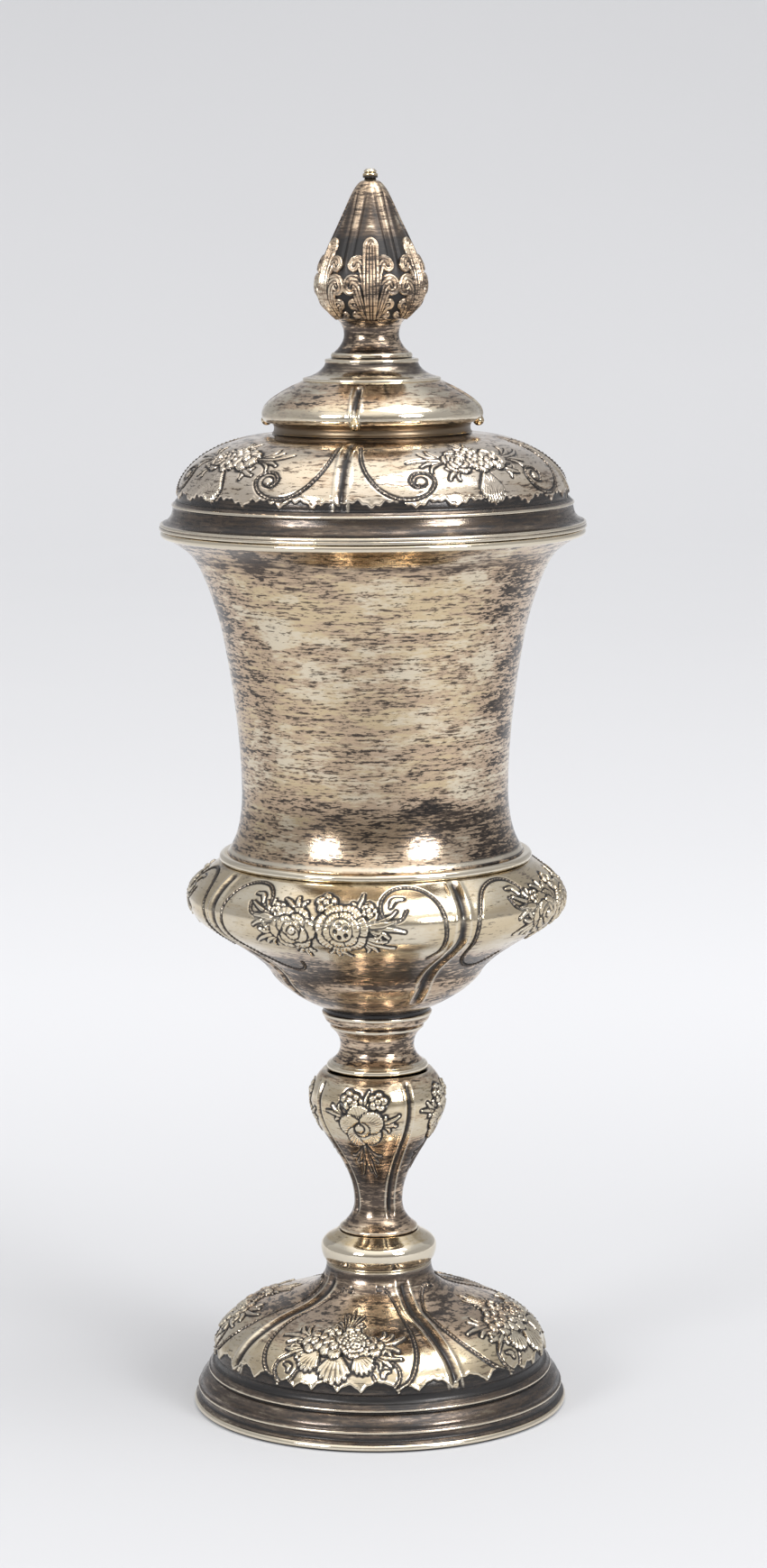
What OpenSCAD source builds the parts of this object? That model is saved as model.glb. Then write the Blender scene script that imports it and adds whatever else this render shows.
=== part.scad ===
// Covered presentation goblet of chased silver, with a lift-off domed lid and a leaf-bud finial.
// Millimetres, +Z up. The foot stands on z = 0 and the Z axis is the axis of the stem.
// The cup is a stack of thin turned and raised shells drawn together by one rod through the stem.
// The lid is a second stack, drawn together by one bolt whose small head is the tip of the finial.
// Azimuth 0 is the front of the goblet, toward -Y, and azimuths grow toward +X.

/* [Sheet and fits] */
// Thickness of the raised and spun sheet
sheet = 0.9; // [0.75:0.05:1.4]
// Thickness of the flat plates that the rod and the bolt pass through
plate = 1.2; // [0.9:0.05:2]
// Gap between the lid's collar and the mouth
bezel_gap = 0.4; // [0.3:0.05:1]
// Radial gap around the rod and the bolt
rod_gap = 0.2; // [0.1:0.05:0.6]
// Radial gap of a nut or boss on its thread
thread_gap = 0.05; // [0.03:0.01:0.1]

/* [Foot] */
// Outer radius of the wire under the foot
rim_r = 48.8; // [44:0.1:56]
// Height of the wire under the foot
rim_h = 2; // [1.4:0.1:3.5]
// Radial width of the wire under the foot
rim_w = 3; // [2.2:0.1:5]
// Height of the stepped band
plinth_h = 9; // [7:0.1:13]
// How far the lower ridge stands inside the rim
low_ridge_in = 1.05; // [0.6:0.05:2]
// How far the upper ridge stands inside the rim
top_ridge_in = 3.8; // [3:0.1:6]
// Height of a bright ridge
ridge_h = 0.9; // [0.6:0.05:1.4]
// Height of the plain hollow under the chased dome
cove_h = 2.4; // [1.6:0.1:4]
// Height of the chased dome above its hollow
dome_h = 23.6; // [18:0.2:32]
// How far the chased dome stands inside the rim
dome_in = 5.2; // [4.4:0.1:8]
// Radius of the neck at the top of the foot
foot_neck_r = 13.7; // [11.5:0.1:17]

/* [Stem] */
// Largest radius of the cushion knop
knop_r = 15.1; // [14:0.1:19]
// Height of the cushion knop
knop_h = 8.6; // [6.5:0.1:12]
// Radius of the polished band at the foot of the baluster
stem_foot_r = 10.2; // [8.5:0.1:12]
// Height of that polished band
stem_band_h = 1.3; // [0.8:0.1:2.5]
// Smallest radius of the baluster
stem_waist_r = 6.2; // [5.4:0.1:8]
// Largest radius of the baluster
stem_belly_r = 17.4; // [14.5:0.1:20]
// Height of the hollow below the baluster's waist
stem_cove_h = 6.4; // [4.5:0.1:9]
// Height from the baluster's waist to its belly
stem_rise_h = 27.7; // [22:0.1:34]
// Height of the baluster's shoulder
stem_shoulder_h = 7.4; // [5.5:0.1:10]
// Radius of the ring on the shoulder
top_ring_r = 13.2; // [12:0.1:15]
// Height of the ring on the shoulder
top_ring_h = 2; // [1.4:0.1:3]
// Smallest radius of the spool above the ring
neck_waist_r = 9.6; // [8:0.1:11]
// Height of the spool
neck_h = 9.2; // [7:0.1:12]
// Radius of the bowl's seat where the bowl stands on it
seat_r = 15.1; // [14.3:0.1:17]
// Height of the bowl's seat
seat_h = 6.2; // [5:0.1:8]

/* [Bowl] */
// Radius of the bowl's belly
belly_r = 48.5; // [44:0.1:56]
// Radius where the calyx under the belly turns upward
calyx_r = 27.2; // [24:0.1:32]
// Height of the calyx
calyx_h = 8.7; // [7:0.1:12]
// Height from the calyx to the widest line of the belly
belly_rise_h = 20; // [16:0.1:26]
// Height from the widest line to the ring above it
belly_fall_h = 9.3; // [7.5:0.1:13]
// Radius of the ring between belly and beaker
waist_r = 40.4; // [39.4:0.05:43]
// Height of that ring
waist_h = 2.2; // [1.6:0.1:3.2]
// Radius of the beaker where it leaves the ring
beaker_foot_r = 38.4; // [36.6:0.1:38.9]
// Smallest radius of the beaker
beaker_waist_r = 34.3; // [32:0.1:36]
// Height of the beaker's foot curve
beaker_foot_h = 16; // [12:0.1:21]
// Height of the beaker's long middle
beaker_mid_h = 42; // [34:0.2:52]
// Radius of the beaker at the top of its middle
beaker_shoulder_r = 39.1; // [37:0.1:42]
// Height of the flare up to the throat of the mouth
flare_h = 18.6; // [14:0.1:24]
// How far the lip stands outside the throat of the mouth
lip_flare = 6.7; // [5:0.1:8.5]
// Depth of the throat below the seat of the lid
throat_d = 6.8; // [5.5:0.1:9]
// Radius of the sheet's upright edge at the lip
lip_r = 53; // [51.8:0.1:55]
// Radial width of the wire around the lip
lip_wire_w = 1.4; // [0.9:0.1:2.2]
// Height of the wire around the lip
lip_wire_h = 2; // [1.4:0.1:2.6]

/* [Tie rod] */
// Radius of the rod through the stem
rod_r = 2.5; // [2:0.1:3.2]
// Outer radius of the boss under the bowl
boss_r = 6.5; // [5:0.1:8]
// Height of the boss under the bowl
boss_h = 5; // [4:0.1:8]
// Radius of the washer under the foot
washer_r = 8.5; // [7.2:0.1:10]
// Thickness of the washer under the foot
washer_t = 1.2; // [0.8:0.1:2]
// Width across the flats of the nut under the foot
nut_w = 9; // [8:0.1:11]
// Height of the nut under the foot
nut_h = 4; // [3:0.1:6]
// Length of thread below the nut
rod_end = 1.5; // [0.5:0.1:3]

/* [Lid] */
// Length of the collar that sits in the mouth
bezel_h = 6; // [4:0.1:6.2]
// How far the lid's flange stands outside the wire around the lip
flange_over = 0.2; // [0:0.05:1]
// Height of the double edge of the flange
flange_edge_h = 1.8; // [1.4:0.1:2.6]
// How far the bright ridge stands inside the edge of the flange
lid_ridge_in = 3.2; // [2.4:0.1:4.2]
// Height of the flange up to the chased dome
flange_h = 7.6; // [6:0.1:10]
// How far the foot of the chased lid dome stands inside the edge of the flange
lid_dome_in = 4.4; // [3.8:0.1:6]
// Height of the chased lid dome
lid_dome_h = 16.4; // [12:0.1:22]
// Radius of the gilt neck under the cap
lid_neck_r = 25.6; // [23:0.1:27]
// Height of the gilt neck
lid_neck_h = 3; // [2:0.1:5]
// Radius of the small cap
cap_r = 28.2; // [27.6:0.1:31]
// Height of the small cap
cap_h = 10.4; // [8:0.1:14]
// Radius of the drops that end the cap's grooves
drop_r = 1.3; // [0.9:0.05:1.4]

/* [Finial] */
// Radius of the finial's stepped foot
fin_foot_r = 17.6; // [16:0.1:20]
// Height of the finial's stepped foot
fin_foot_h = 7.1; // [5.5:0.1:9]
// Radius of the ring on the stepped foot
fin_ring_r = 11.9; // [11.2:0.1:14]
// Radius of the spool where it meets foot and bud
fin_neck_r = 9.6; // [8.6:0.1:10.4]
// Smallest radius of the spool
fin_waist_r = 7; // [5.6:0.1:8.2]
// Height of the spool
fin_neck_h = 8.7; // [7:0.1:11]
// Largest radius of the bud without its leaves
bud_r = 13.7; // [12:0.1:15]
// Height from the spool to the widest line of the bud
bud_low_h = 8.2; // [6.5:0.1:11]
// Height from the widest line to the tip of the bud
bud_top_h = 26.8; // [22:0.1:34]
// Radius of the tip of the bud
bud_tip_r = 3; // [2.6:0.1:3.8]
// Height of the ribs that run up the bud
rib_d = 0.5; // [0.3:0.05:0.9]
// Width of the ribs that run up the bud
rib_w = 1.4; // [0.8:0.1:2.2]
// Length of a leaf along the bud
leaf_l = 21; // [17:0.2:23]
// Half width of a leaf at its widest
leaf_w = 5.6; // [4.4:0.1:6.2]
// Thickness of a leaf
leaf_t = 1.5; // [1:0.05:2]
// How deep the back of a leaf is let into the bud
leaf_sink = 0.25; // [0.15:0.05:0.4]
// How far the tip of a leaf curls away from the bud
leaf_curl = 1.6; // [0.4:0.1:2.5]
// Radius of the bolt through the finial
bolt_r = 1.2; // [1:0.05:1.6]
// Radius of the bolt's head at the very top
bolt_head_r = 1.9; // [1.75:0.05:2.3]
// Height of the bolt's head
bolt_head_h = 2.4; // [1.8:0.1:3.2]
// Radius of the washer inside the cap
cap_washer_r = 5.5; // [4.5:0.1:7]
// Thickness of the washer inside the cap
cap_washer_t = 0.8; // [0.6:0.05:1.4]
// Width across the flats of the nut inside the cap
cap_nut_w = 5.5; // [5:0.1:7]
// Height of the nut inside the cap
cap_nut_h = 2.4; // [1.8:0.1:3.5]
// Length of thread below the nut inside the cap
bolt_end = 1; // [0.4:0.1:2]

/* [Lobes] */
// Depth of the grooves between the lobes
groove_d = 0.45; // [0.25:0.05:0.6]
// Width of the grooves between the lobes
groove_w = 1.6; // [0.8:0.1:3]
// How far the chased bouquets stand out of the sheet
flower_rise = 0.9; // [0.5:0.05:1.2]
// Azimuth of a groove on the foot and the bowl
lobe_turn = 29; // [0:1:89]
// Azimuth of a groove on the lid
lid_turn = -9; // [-44:1:45]

/* [Hidden] */
$fn = 96;

// Colours of the metal
silver = [0.72, 0.68, 0.60];
silver_dark = [0.45, 0.43, 0.40];
silver_warm = [0.78, 0.70, 0.55];
gilt = [0.83, 0.66, 0.32];
iron = [0.40, 0.38, 0.36];

// Levels of the stack, from the floor up
plinth_z = rim_h;
cove_z = plinth_z + plinth_h;
dome_z = cove_z + cove_h;
knop_z = dome_z + dome_h;
baluster_z = knop_z + knop_h;
stem_waist_z = baluster_z + stem_band_h + stem_cove_h;
stem_belly_z = stem_waist_z + stem_rise_h;
top_ring_z = stem_belly_z + stem_shoulder_h;
neck_z = top_ring_z + top_ring_h;
seat_z = neck_z + neck_h;
bowl_z = seat_z + seat_h;
calyx_z = bowl_z + calyx_h;
belly_z = calyx_z + belly_rise_h;
waist_z = belly_z + belly_fall_h;
beaker_z = waist_z + waist_h;
beaker_waist_z = beaker_z + beaker_foot_h;
beaker_shoulder_z = beaker_waist_z + beaker_mid_h;
throat_z = beaker_shoulder_z + flare_h;
lid_z = throat_z + throat_d;
lid_dome_z = lid_z + flange_h;
lid_neck_z = lid_dome_z + lid_dome_h;
cap_z = lid_neck_z + lid_neck_h;
fin_z = cap_z + cap_h;
fin_neck_z = fin_z + fin_foot_h;
bud_z = fin_neck_z + fin_neck_h;
bud_belly_z = bud_z + bud_low_h;
tip_z = bud_belly_z + bud_top_h;

// Radii that follow from the pieces beside them
plinth_foot_r = rim_r - 0.35;
low_ridge_r = rim_r - low_ridge_in;
top_ridge_r = rim_r - top_ridge_in;
dome_r = rim_r - dome_in;
knop_foot_r = foot_neck_r - 0.6;
knop_top_r = stem_foot_r + 0.4;
stem_top_r = top_ring_r + 1;
neck_foot_r = top_ring_r - 0.7;
neck_top_r = seat_r - 3.2;
bowl_foot_r = seat_r + 0.2;
belly_top_r = waist_r - 0.4;
throat_r = lip_r - lip_flare;
flange_r = lip_r + lip_wire_w + flange_over;
lid_ridge_r = flange_r - lid_ridge_in;
lid_dome_r = flange_r - lid_dome_in;
bezel_r = throat_r - 1.35 * sheet - bezel_gap;
bolt_bore = bolt_r + rod_gap;
rod_bore = rod_r + rod_gap;
lid_hole_r = lid_neck_r - 1.6;
cap_top_r = fin_foot_r + 0.1;

// How far a cutter runs past the metal, through a cavity and through a groove or a bore
long_reach = 30;
short_reach = 2;

// Points along a cubic curve from a to d, pulled toward b and c
function curve(a, b, c, d, n = 8) = [for (i = [0:n]) let (t = i / n, s = 1 - t)
    s * s * s * a + 3 * s * s * t * b + 3 * s * t * t * c + t * t * t * d];

// Points along an arc of an ellipse around c with half axes x and y
function arc(c, x, y, from, to, n = 8) = [for (i = [0:n]) let (a = from + (to - from) * i / n)
    [c[0] + x * cos(a), c[1] + y * sin(a)]];

function unit(v) = v / norm(v);

function flip(c) = [for (i = [len(c) - 1:-1:0]) c[i]];

// Direction out of the metal at point i of a profile that is drawn upward
function outward(c, i) = let (d = c[min(i + 1, len(c) - 1)] - c[max(i - 1, 0)])
    unit([d[1], -d[0]]);

// The inner face of a shell: each point moves in by t, and stays between two levels and outside a bore
function inner(c, t, low, high, bore = 0) = [for (i = [0:len(c) - 1]) let (q = c[i] - t * outward(c, i))
    [max(q[0], bore), min(max(q[1], low), high)]];

// The same with both ends cut level at the ends of the profile
function open_inner(c, t) = let (m = len(c) - 1, q = inner(c, t, c[0][1], c[m][1]))
    [for (i = [0:m]) i == 0 || i == m
        ? [c[i][0] - t / max(outward(c, i)[0], 0.5), c[i][1]]
        : q[i]];

module turned(points) {
    rotate_extrude()
        polygon(points);
}

// A ring with a half-round outer side
module wire(r, w, h) {
    turned(concat([[r - w, 0]], arc([r - h / 2, h / 2], h / 2, h / 2, -90, 90, 10), [[r - w, h]]));
}

// A profile point placed at an azimuth
function placed(p, a) = [p[0] * sin(a), -p[0] * cos(a), p[1]];

function placed_dir(n, a) = [n[0] * sin(a), -n[0] * cos(a), n[1]];

// A flat blade that follows a profile, from depth below its face to height above it, at an azimuth
module blade(c, first, last, turn, depth, height, width) {
    low = [for (i = [first:last]) c[i] - depth * outward(c, i)];
    high = [for (i = [first:last]) c[i] + height * outward(c, i)];
    rotate([0, 0, turn - 90])
        rotate([90, 0, 0])
            linear_extrude(height = width, center = true)
                polygon(concat(high, flip(low)));
}

// Blades evenly spaced round the axis
module blades(count, c, first, last, turn, depth, height, width) {
    for (q = [0:count - 1])
        blade(c, first, last, turn + 360 * q / count, depth, height, width);
}

// A point of a profile at a length from its foot, and the direction out of the metal there
function along(c, s, i = 0) = let (d = norm(c[i + 1] - c[i]))
    s <= d || i > len(c) - 3
        ? [c[i] + s / d * (c[i + 1] - c[i]), unit([c[i + 1][1] - c[i][1], c[i][0] - c[i + 1][0]])]
        : along(c, s - d, i + 1);

// Round swellings of the bouquets, the same on each of four panels. A spot is an angle from the panel's
// middle, a share of the profile's length, the radius of its ball and a share of flower_rise.
module bouquets(c, turn, spots) {
    length = run_length(c, len(c) - 1);
    for (q = [0:3], spot = spots)
        let (at = along(c, spot[1] * length), rise = spot[3] * flower_rise - spot[2])
            translate(placed(at[0] + rise * at[1], turn + 45 + 90 * q + spot[0]))
                sphere(r = spot[2]);
}

dome_spots = [[-8, 0.355, 9, 1], [6.5, 0.36, 9, 1], [-21, 0.34, 10, 0.65], [20.5, 0.33, 10, 0.65],
    [0.5, 0.6, 8, 0.7], [-0.5, 0.15, 9, 0.6]];
lid_spots = [[-8.5, 0.415, 9, 1], [10, 0.46, 9, 1], [-19.5, 0.44, 9, 0.65], [21, 0.46, 9, 0.65],
    [0.5, 0.19, 9, 0.6]];
bulge_spots = [[-9, 0.74, 6, 1], [6.6, 0.755, 6, 1], [-21, 0.775, 6, 0.65], [20.5, 0.775, 6, 0.65],
    [-4, 0.6, 8, 0.6]];
stem_spots = [[3.3, 0.745, 7, 0.9]];

// Outer profiles, drawn upward
mid_dome_r = foot_neck_r + 0.395 * (dome_r - foot_neck_r);
dome_curve = concat(
    curve([dome_r, dome_z], [dome_r, dome_z + 0.265 * dome_h], [dome_r - 7.2, dome_z + 0.49 * dome_h],
        [mid_dome_r, dome_z + 0.6 * dome_h], 9),
    [for (i = [1:7]) curve([mid_dome_r, dome_z + 0.6 * dome_h],
        [mid_dome_r - 7, dome_z + 0.678 * dome_h], [foot_neck_r, dome_z + 0.767 * dome_h],
        [foot_neck_r, knop_z], 7)[i]]);

cove_curve = [[top_ridge_r - 1.2, cove_z], [dome_r - 0.6, cove_z + 0.35 * cove_h],
    [dome_r - 0.8, cove_z + 0.7 * cove_h], [dome_r - 0.5, cove_z + 0.92 * cove_h]];

low_z = plinth_z + 0.31 * plinth_h;
high_z = plinth_z + 0.845 * plinth_h;
plinth_curve = concat([[plinth_foot_r, plinth_z], [low_ridge_r - 0.5, plinth_z + 0.8]],
    arc([low_ridge_r - 0.45, low_z], 0.45, ridge_h / 2, -90, 90, 6),
    curve([low_ridge_r - 0.6, low_z + 0.6], [low_ridge_r - 0.4, low_z + 1.9],
        [top_ridge_r + 0.8, high_z - 1.5], [top_ridge_r - 0.7, high_z - 0.7], 6),
    arc([top_ridge_r - 0.45, high_z], 0.45, ridge_h / 2, -90, 90, 6),
    [[top_ridge_r - 1.1, plinth_z + plinth_h]]);

knop_curve = concat(
    arc([knop_r - 2.6, knop_z + 0.5 * knop_h], 2.6, 0.5 * knop_h, -75, 0, 6),
    [for (i = [1:8]) curve([knop_r, knop_z + 0.5 * knop_h], [knop_r, knop_z + 0.76 * knop_h],
        [knop_top_r + 2.2, baluster_z - 1.4], [knop_top_r, baluster_z], 8)[i]]);

baluster_curve = concat(
    [[stem_foot_r - 0.3, baluster_z], [stem_foot_r, baluster_z + 0.3],
        [stem_foot_r, baluster_z + stem_band_h - 0.3]],
    curve([stem_foot_r - 0.4, baluster_z + stem_band_h], [stem_waist_r + 2, baluster_z + stem_band_h + 1.2],
        [stem_waist_r, stem_waist_z - 3.2], [stem_waist_r, stem_waist_z], 7),
    [for (i = [1:12]) curve([stem_waist_r, stem_waist_z], [stem_waist_r, stem_waist_z + 0.42 * stem_rise_h],
        [stem_belly_r, stem_waist_z + 0.69 * stem_rise_h], [stem_belly_r, stem_belly_z], 12)[i]],
    [for (i = [1:6]) curve([stem_belly_r, stem_belly_z],
        [stem_belly_r, stem_belly_z + 0.4 * stem_shoulder_h],
        [stem_top_r + 1.6, stem_belly_z + 0.8 * stem_shoulder_h], [stem_top_r, top_ring_z], 6)[i]]);

neck_mid_z = neck_z + 0.5 * neck_h;
neck_curve = concat(
    curve([neck_foot_r, neck_z], [neck_waist_r + 1.4, neck_z + 0.8], [neck_waist_r, neck_z + 0.26 * neck_h],
        [neck_waist_r, neck_mid_z], 7),
    [for (i = [1:7]) curve([neck_waist_r, neck_mid_z], [neck_waist_r, neck_z + 0.74 * neck_h],
        [neck_top_r - 1.1, neck_z + 0.89 * neck_h], [neck_top_r, seat_z], 7)[i]]);

seat_curve = concat(
    [[seat_r - 3, seat_z], [seat_r - 2.9, seat_z + 0.12 * seat_h], [seat_r - 3.5, seat_z + 0.19 * seat_h]],
    curve([seat_r - 3.4, seat_z + 0.2 * seat_h], [seat_r - 2.2, seat_z + 0.2 * seat_h],
        [seat_r - 1.3, seat_z + 0.34 * seat_h], [seat_r - 1.4, seat_z + 0.52 * seat_h], 6),
    [[seat_r - 0.9, seat_z + 0.56 * seat_h], [seat_r - 0.8, seat_z + 0.68 * seat_h],
        [seat_r - 1.4, seat_z + 0.74 * seat_h], [seat_r - 1.1, seat_z + 0.88 * seat_h], [seat_r, bowl_z]]);

belly_mid_r = calyx_r + 0.7 * (belly_r - calyx_r);
belly_mid_z = calyx_z + 0.585 * belly_rise_h;
bulge_curve = concat(
    curve([bowl_foot_r, bowl_z], [bowl_foot_r + 5, bowl_z + 2.2], [calyx_r - 1.8, bowl_z + 0.67 * calyx_h],
        [calyx_r, calyx_z], 8),
    [for (i = [1:7]) curve([calyx_r, calyx_z], [calyx_r + 1.6, calyx_z + 3.3],
        [belly_mid_r - 7.6, belly_mid_z - 4.5], [belly_mid_r, belly_mid_z], 7)[i]],
    [for (i = [1:6]) curve([belly_mid_r, belly_mid_z], [belly_mid_r + 3.7, belly_mid_z + 2.2],
        [belly_r, belly_z - 3.5], [belly_r, belly_z], 6)[i]],
    [for (i = [1:8]) curve([belly_r, belly_z], [belly_r, belly_z + 0.35 * belly_fall_h],
        [belly_top_r + 4, waist_z - 0.27 * belly_fall_h], [belly_top_r, waist_z], 8)[i]]);

beaker_curve = concat(
    curve([beaker_foot_r, beaker_z], [beaker_foot_r - 2.2, beaker_z + 2.5],
        [beaker_waist_r, beaker_z + 7.7], [beaker_waist_r, beaker_waist_z], 8),
    [for (i = [1:8]) curve([beaker_waist_r, beaker_waist_z],
        [beaker_waist_r, beaker_waist_z + 0.333 * beaker_mid_h],
        [beaker_shoulder_r - 2.2, beaker_waist_z + 0.75 * beaker_mid_h],
        [beaker_shoulder_r, beaker_shoulder_z], 8)[i]],
    [for (i = [1:7]) curve([beaker_shoulder_r, beaker_shoulder_z],
        [beaker_shoulder_r + 1.5, beaker_shoulder_z + 0.333 * flare_h], [throat_r - 2.9, throat_z - 3.8],
        [throat_r, throat_z], 7)[i]],
    [for (i = [1:6]) curve([throat_r, throat_z], [throat_r + 1.8, throat_z + 2.3],
        [lip_r - 1.6, lid_z - 2.8], [lip_r, lid_z - lip_wire_h], 6)[i]],
    [[lip_r, lid_z]]);

flange_curve = concat(
    [[flange_r - 0.2, lid_z], [flange_r, lid_z + 0.2], [flange_r, lid_z + 0.36 * flange_edge_h],
        [flange_r - 0.35, lid_z + 0.5 * flange_edge_h], [flange_r - 0.1, lid_z + 0.64 * flange_edge_h],
        [flange_r - 0.3, lid_z + 0.9 * flange_edge_h]],
    curve([flange_r - 0.9, lid_z + flange_edge_h], [lid_ridge_r + 0.6, lid_z + flange_edge_h + 0.6],
        [lid_ridge_r - 0.1, lid_z + 0.5 * flange_h], [lid_ridge_r - 0.3, lid_z + 0.73 * flange_h], 6),
    arc([lid_ridge_r - 0.45, lid_z + 0.835 * flange_h], 0.45, ridge_h / 2, -80, 90, 6),
    [[lid_dome_r, lid_dome_z]]);

lid_curve = concat([[lid_dome_r, lid_dome_z]],
    curve([lid_dome_r, lid_dome_z + 0.06 * lid_dome_h], [lid_dome_r - 0.5, lid_dome_z + 0.52 * lid_dome_h],
        [lid_dome_r - 9.7, lid_neck_z - 0.9], [lid_neck_r + 0.6, lid_neck_z], 14));

cap_mid_z = cap_z + 0.2 * cap_h;
cap_curve = concat(
    arc([cap_r - 1.6, cap_mid_z], 1.6, 0.2 * cap_h, -70, 0, 4),
    [for (i = [1:10]) curve([cap_r, cap_mid_z], [cap_r, cap_z + 0.5 * cap_h],
        [cap_top_r + 5.2, cap_z + 0.73 * cap_h], [cap_top_r, fin_z], 10)[i]]);

fin_foot_curve = concat(
    [[fin_foot_r, fin_z], [fin_foot_r, fin_z + 0.7], [fin_foot_r - 0.6, fin_z + 0.85]],
    [for (i = [1:7]) curve([fin_foot_r - 0.6, fin_z + 0.85], [fin_ring_r + 2.4, fin_z + 0.2 * fin_foot_h],
        [fin_ring_r + 0.4, fin_z + 0.4 * fin_foot_h], [fin_ring_r - 0.1, fin_z + 0.64 * fin_foot_h], 7)[i]],
    [[fin_ring_r + 0.1, fin_z + 0.68 * fin_foot_h], [fin_ring_r, fin_z + 0.77 * fin_foot_h],
        [fin_ring_r - 1.7, fin_z + 0.81 * fin_foot_h], [fin_ring_r - 1.5, fin_z + 0.85 * fin_foot_h],
        [fin_ring_r - 1.6, fin_z + 0.94 * fin_foot_h], [fin_neck_r + 0.4, fin_neck_z]]);

fin_mid_z = fin_neck_z + 0.52 * fin_neck_h;
fin_neck_curve = concat(
    curve([fin_neck_r, fin_neck_z], [fin_waist_r + 1, fin_neck_z + 0.16 * fin_neck_h],
        [fin_waist_r, fin_neck_z + 0.33 * fin_neck_h], [fin_waist_r, fin_mid_z], 6),
    [for (i = [1:6]) curve([fin_waist_r, fin_mid_z], [fin_waist_r, fin_neck_z + 0.73 * fin_neck_h],
        [fin_waist_r + 0.8, fin_neck_z + 0.88 * fin_neck_h], [fin_neck_r - 0.6, bud_z], 6)[i]]);

bud_curve = concat(
    curve([fin_neck_r - 0.6, bud_z], [fin_neck_r + 0.9, bud_z + 0.2 * bud_low_h],
        [bud_r, bud_belly_z - 0.5 * bud_low_h], [bud_r, bud_belly_z], 8),
    [for (i = [1:14]) curve([bud_r, bud_belly_z], [bud_r, bud_belly_z + 0.2 * bud_top_h],
        [bud_tip_r + 4.6, bud_belly_z + 0.55 * bud_top_h], [bud_tip_r, tip_z], 14)[i]]);

// Pieces of the foot

module foot_rim_wire() {
    color(silver_warm)
        wire(rim_r, rim_w, rim_h);
}

module foot_plinth() {
    color(silver_dark)
        turned(concat(plinth_curve,
            [[top_ridge_r - 1.2 - 1.6 * sheet, plinth_z + plinth_h],
                [top_ridge_r - 0.7 - 2 * sheet, high_z - 0.7],
                [low_ridge_r - 0.6 - 1.8 * sheet, low_z + 0.6], [rim_r - rim_w + 0.2, plinth_z]]));
}

module foot_dome() {
    in_wall = inner(dome_curve, sheet, dome_z, knop_z - plate);
    color(silver)
        difference() {
            union() {
                turned(concat([[rod_bore, cove_z]], cove_curve, dome_curve, [[rod_bore, knop_z]]));
                bouquets(dome_curve, lobe_turn, dome_spots);
            }
            turned(concat([[0, cove_z - long_reach], [2 * dome_r, cove_z - long_reach], [2 * dome_r, cove_z],
                [top_ridge_r - 1.2 - 1.4 * sheet, cove_z], [dome_r - 0.9 - sheet, cove_z + 0.6 * cove_h]],
                in_wall, [[0, knop_z - plate]]));
            blades(4, dome_curve, 1, 14, lobe_turn, groove_d, short_reach, groove_w);
        }
}

// Pieces of the stem

module stem_knop() {
    wall_top = knop_top_r - 2 * sheet;
    color(silver_warm)
        turned(concat([[knop_foot_r - 0.4, knop_z]], knop_curve,
            [[wall_top, baluster_z], [wall_top + 1.4, baluster_z - 0.35 * knop_h],
                [knop_foot_r - 2 * sheet, knop_z + 0.2 * knop_h], [knop_foot_r - 2.4 * sheet, knop_z]]));
}

module stem_baluster() {
    in_wall = open_inner(baluster_curve, sheet);
    last = len(in_wall) - 1;
    color(silver)
        difference() {
            union() {
                turned(concat([[0, baluster_z]], baluster_curve, [[0, top_ring_z]]));
                bouquets(baluster_curve, lobe_turn, stem_spots);
            }
            turned(concat([[0, baluster_z - long_reach], [in_wall[0][0], baluster_z - long_reach]], in_wall,
                [[in_wall[last][0], top_ring_z + long_reach], [0, top_ring_z + long_reach]]));
            blades(4, baluster_curve, 12, 27, lobe_turn, groove_d, short_reach, 0.7 * groove_w);
        }
}

module stem_top_ring() {
    color(silver_warm)
        translate([0, 0, top_ring_z])
            wire(top_ring_r, 2.6, top_ring_h);
}

module stem_neck() {
    color(silver)
        turned(concat(neck_curve, flip(open_inner(neck_curve, sheet))));
}

// Pieces of the bowl

module bowl_seat() {
    wall_r = seat_r - 3.4 - sheet;
    color(silver_warm)
        turned(concat(seat_curve, [[seat_r - 2.6 * sheet, bowl_z], [wall_r, seat_z + 0.45 * seat_h],
            [wall_r, seat_z]]));
}

module bowl_bulge() {
    in_wall = inner(bulge_curve, sheet, bowl_z + plate, waist_z);
    last = len(bulge_curve) - 1;
    mouth_r = belly_top_r - 1.5 * sheet;
    color(silver_warm)
        difference() {
            union() {
                turned(concat([[0, bowl_z]], bulge_curve, [[0, waist_z]]));
                bouquets(bulge_curve, lobe_turn, bulge_spots);
            }
            turned(concat([[0, bowl_z + plate]], [for (i = [0:last - 1]) in_wall[i]],
                [[mouth_r, waist_z], [mouth_r, waist_z + long_reach], [0, waist_z + long_reach]]));
            blades(4, bulge_curve, 4, last - 1, lobe_turn, groove_d, short_reach, groove_w);
        }
}

module waist_wire() {
    color(silver_warm)
        translate([0, 0, waist_z])
            wire(waist_r, waist_r - beaker_foot_r + 1.2 * sheet, waist_h);
}

module bowl_beaker() {
    color(silver)
        turned(concat(beaker_curve, flip(open_inner(beaker_curve, sheet))));
}

module lip_wire() {
    color(silver_warm)
        translate([0, 0, lid_z - lip_wire_h])
            wire(lip_r + lip_wire_w, lip_wire_w, lip_wire_h);
}

// Rod, boss, washer and nut inside the stem

module bowl_boss() {
    color(iron)
        turned([[rod_r + thread_gap, bowl_z - boss_h], [boss_r, bowl_z - boss_h], [boss_r, bowl_z],
            [rod_r + thread_gap, bowl_z]]);
}

washer_z = knop_z - plate - washer_t;
nut_z = washer_z - nut_h;

module tie_rod() {
    color(iron)
        translate([0, 0, nut_z - rod_end])
            cylinder(r = rod_r, h = bowl_z - nut_z + rod_end);
}

module tie_washer() {
    color(iron)
        turned([[rod_bore, washer_z], [washer_r, washer_z], [washer_r, washer_z + washer_t],
            [rod_bore, washer_z + washer_t]]);
}

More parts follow.
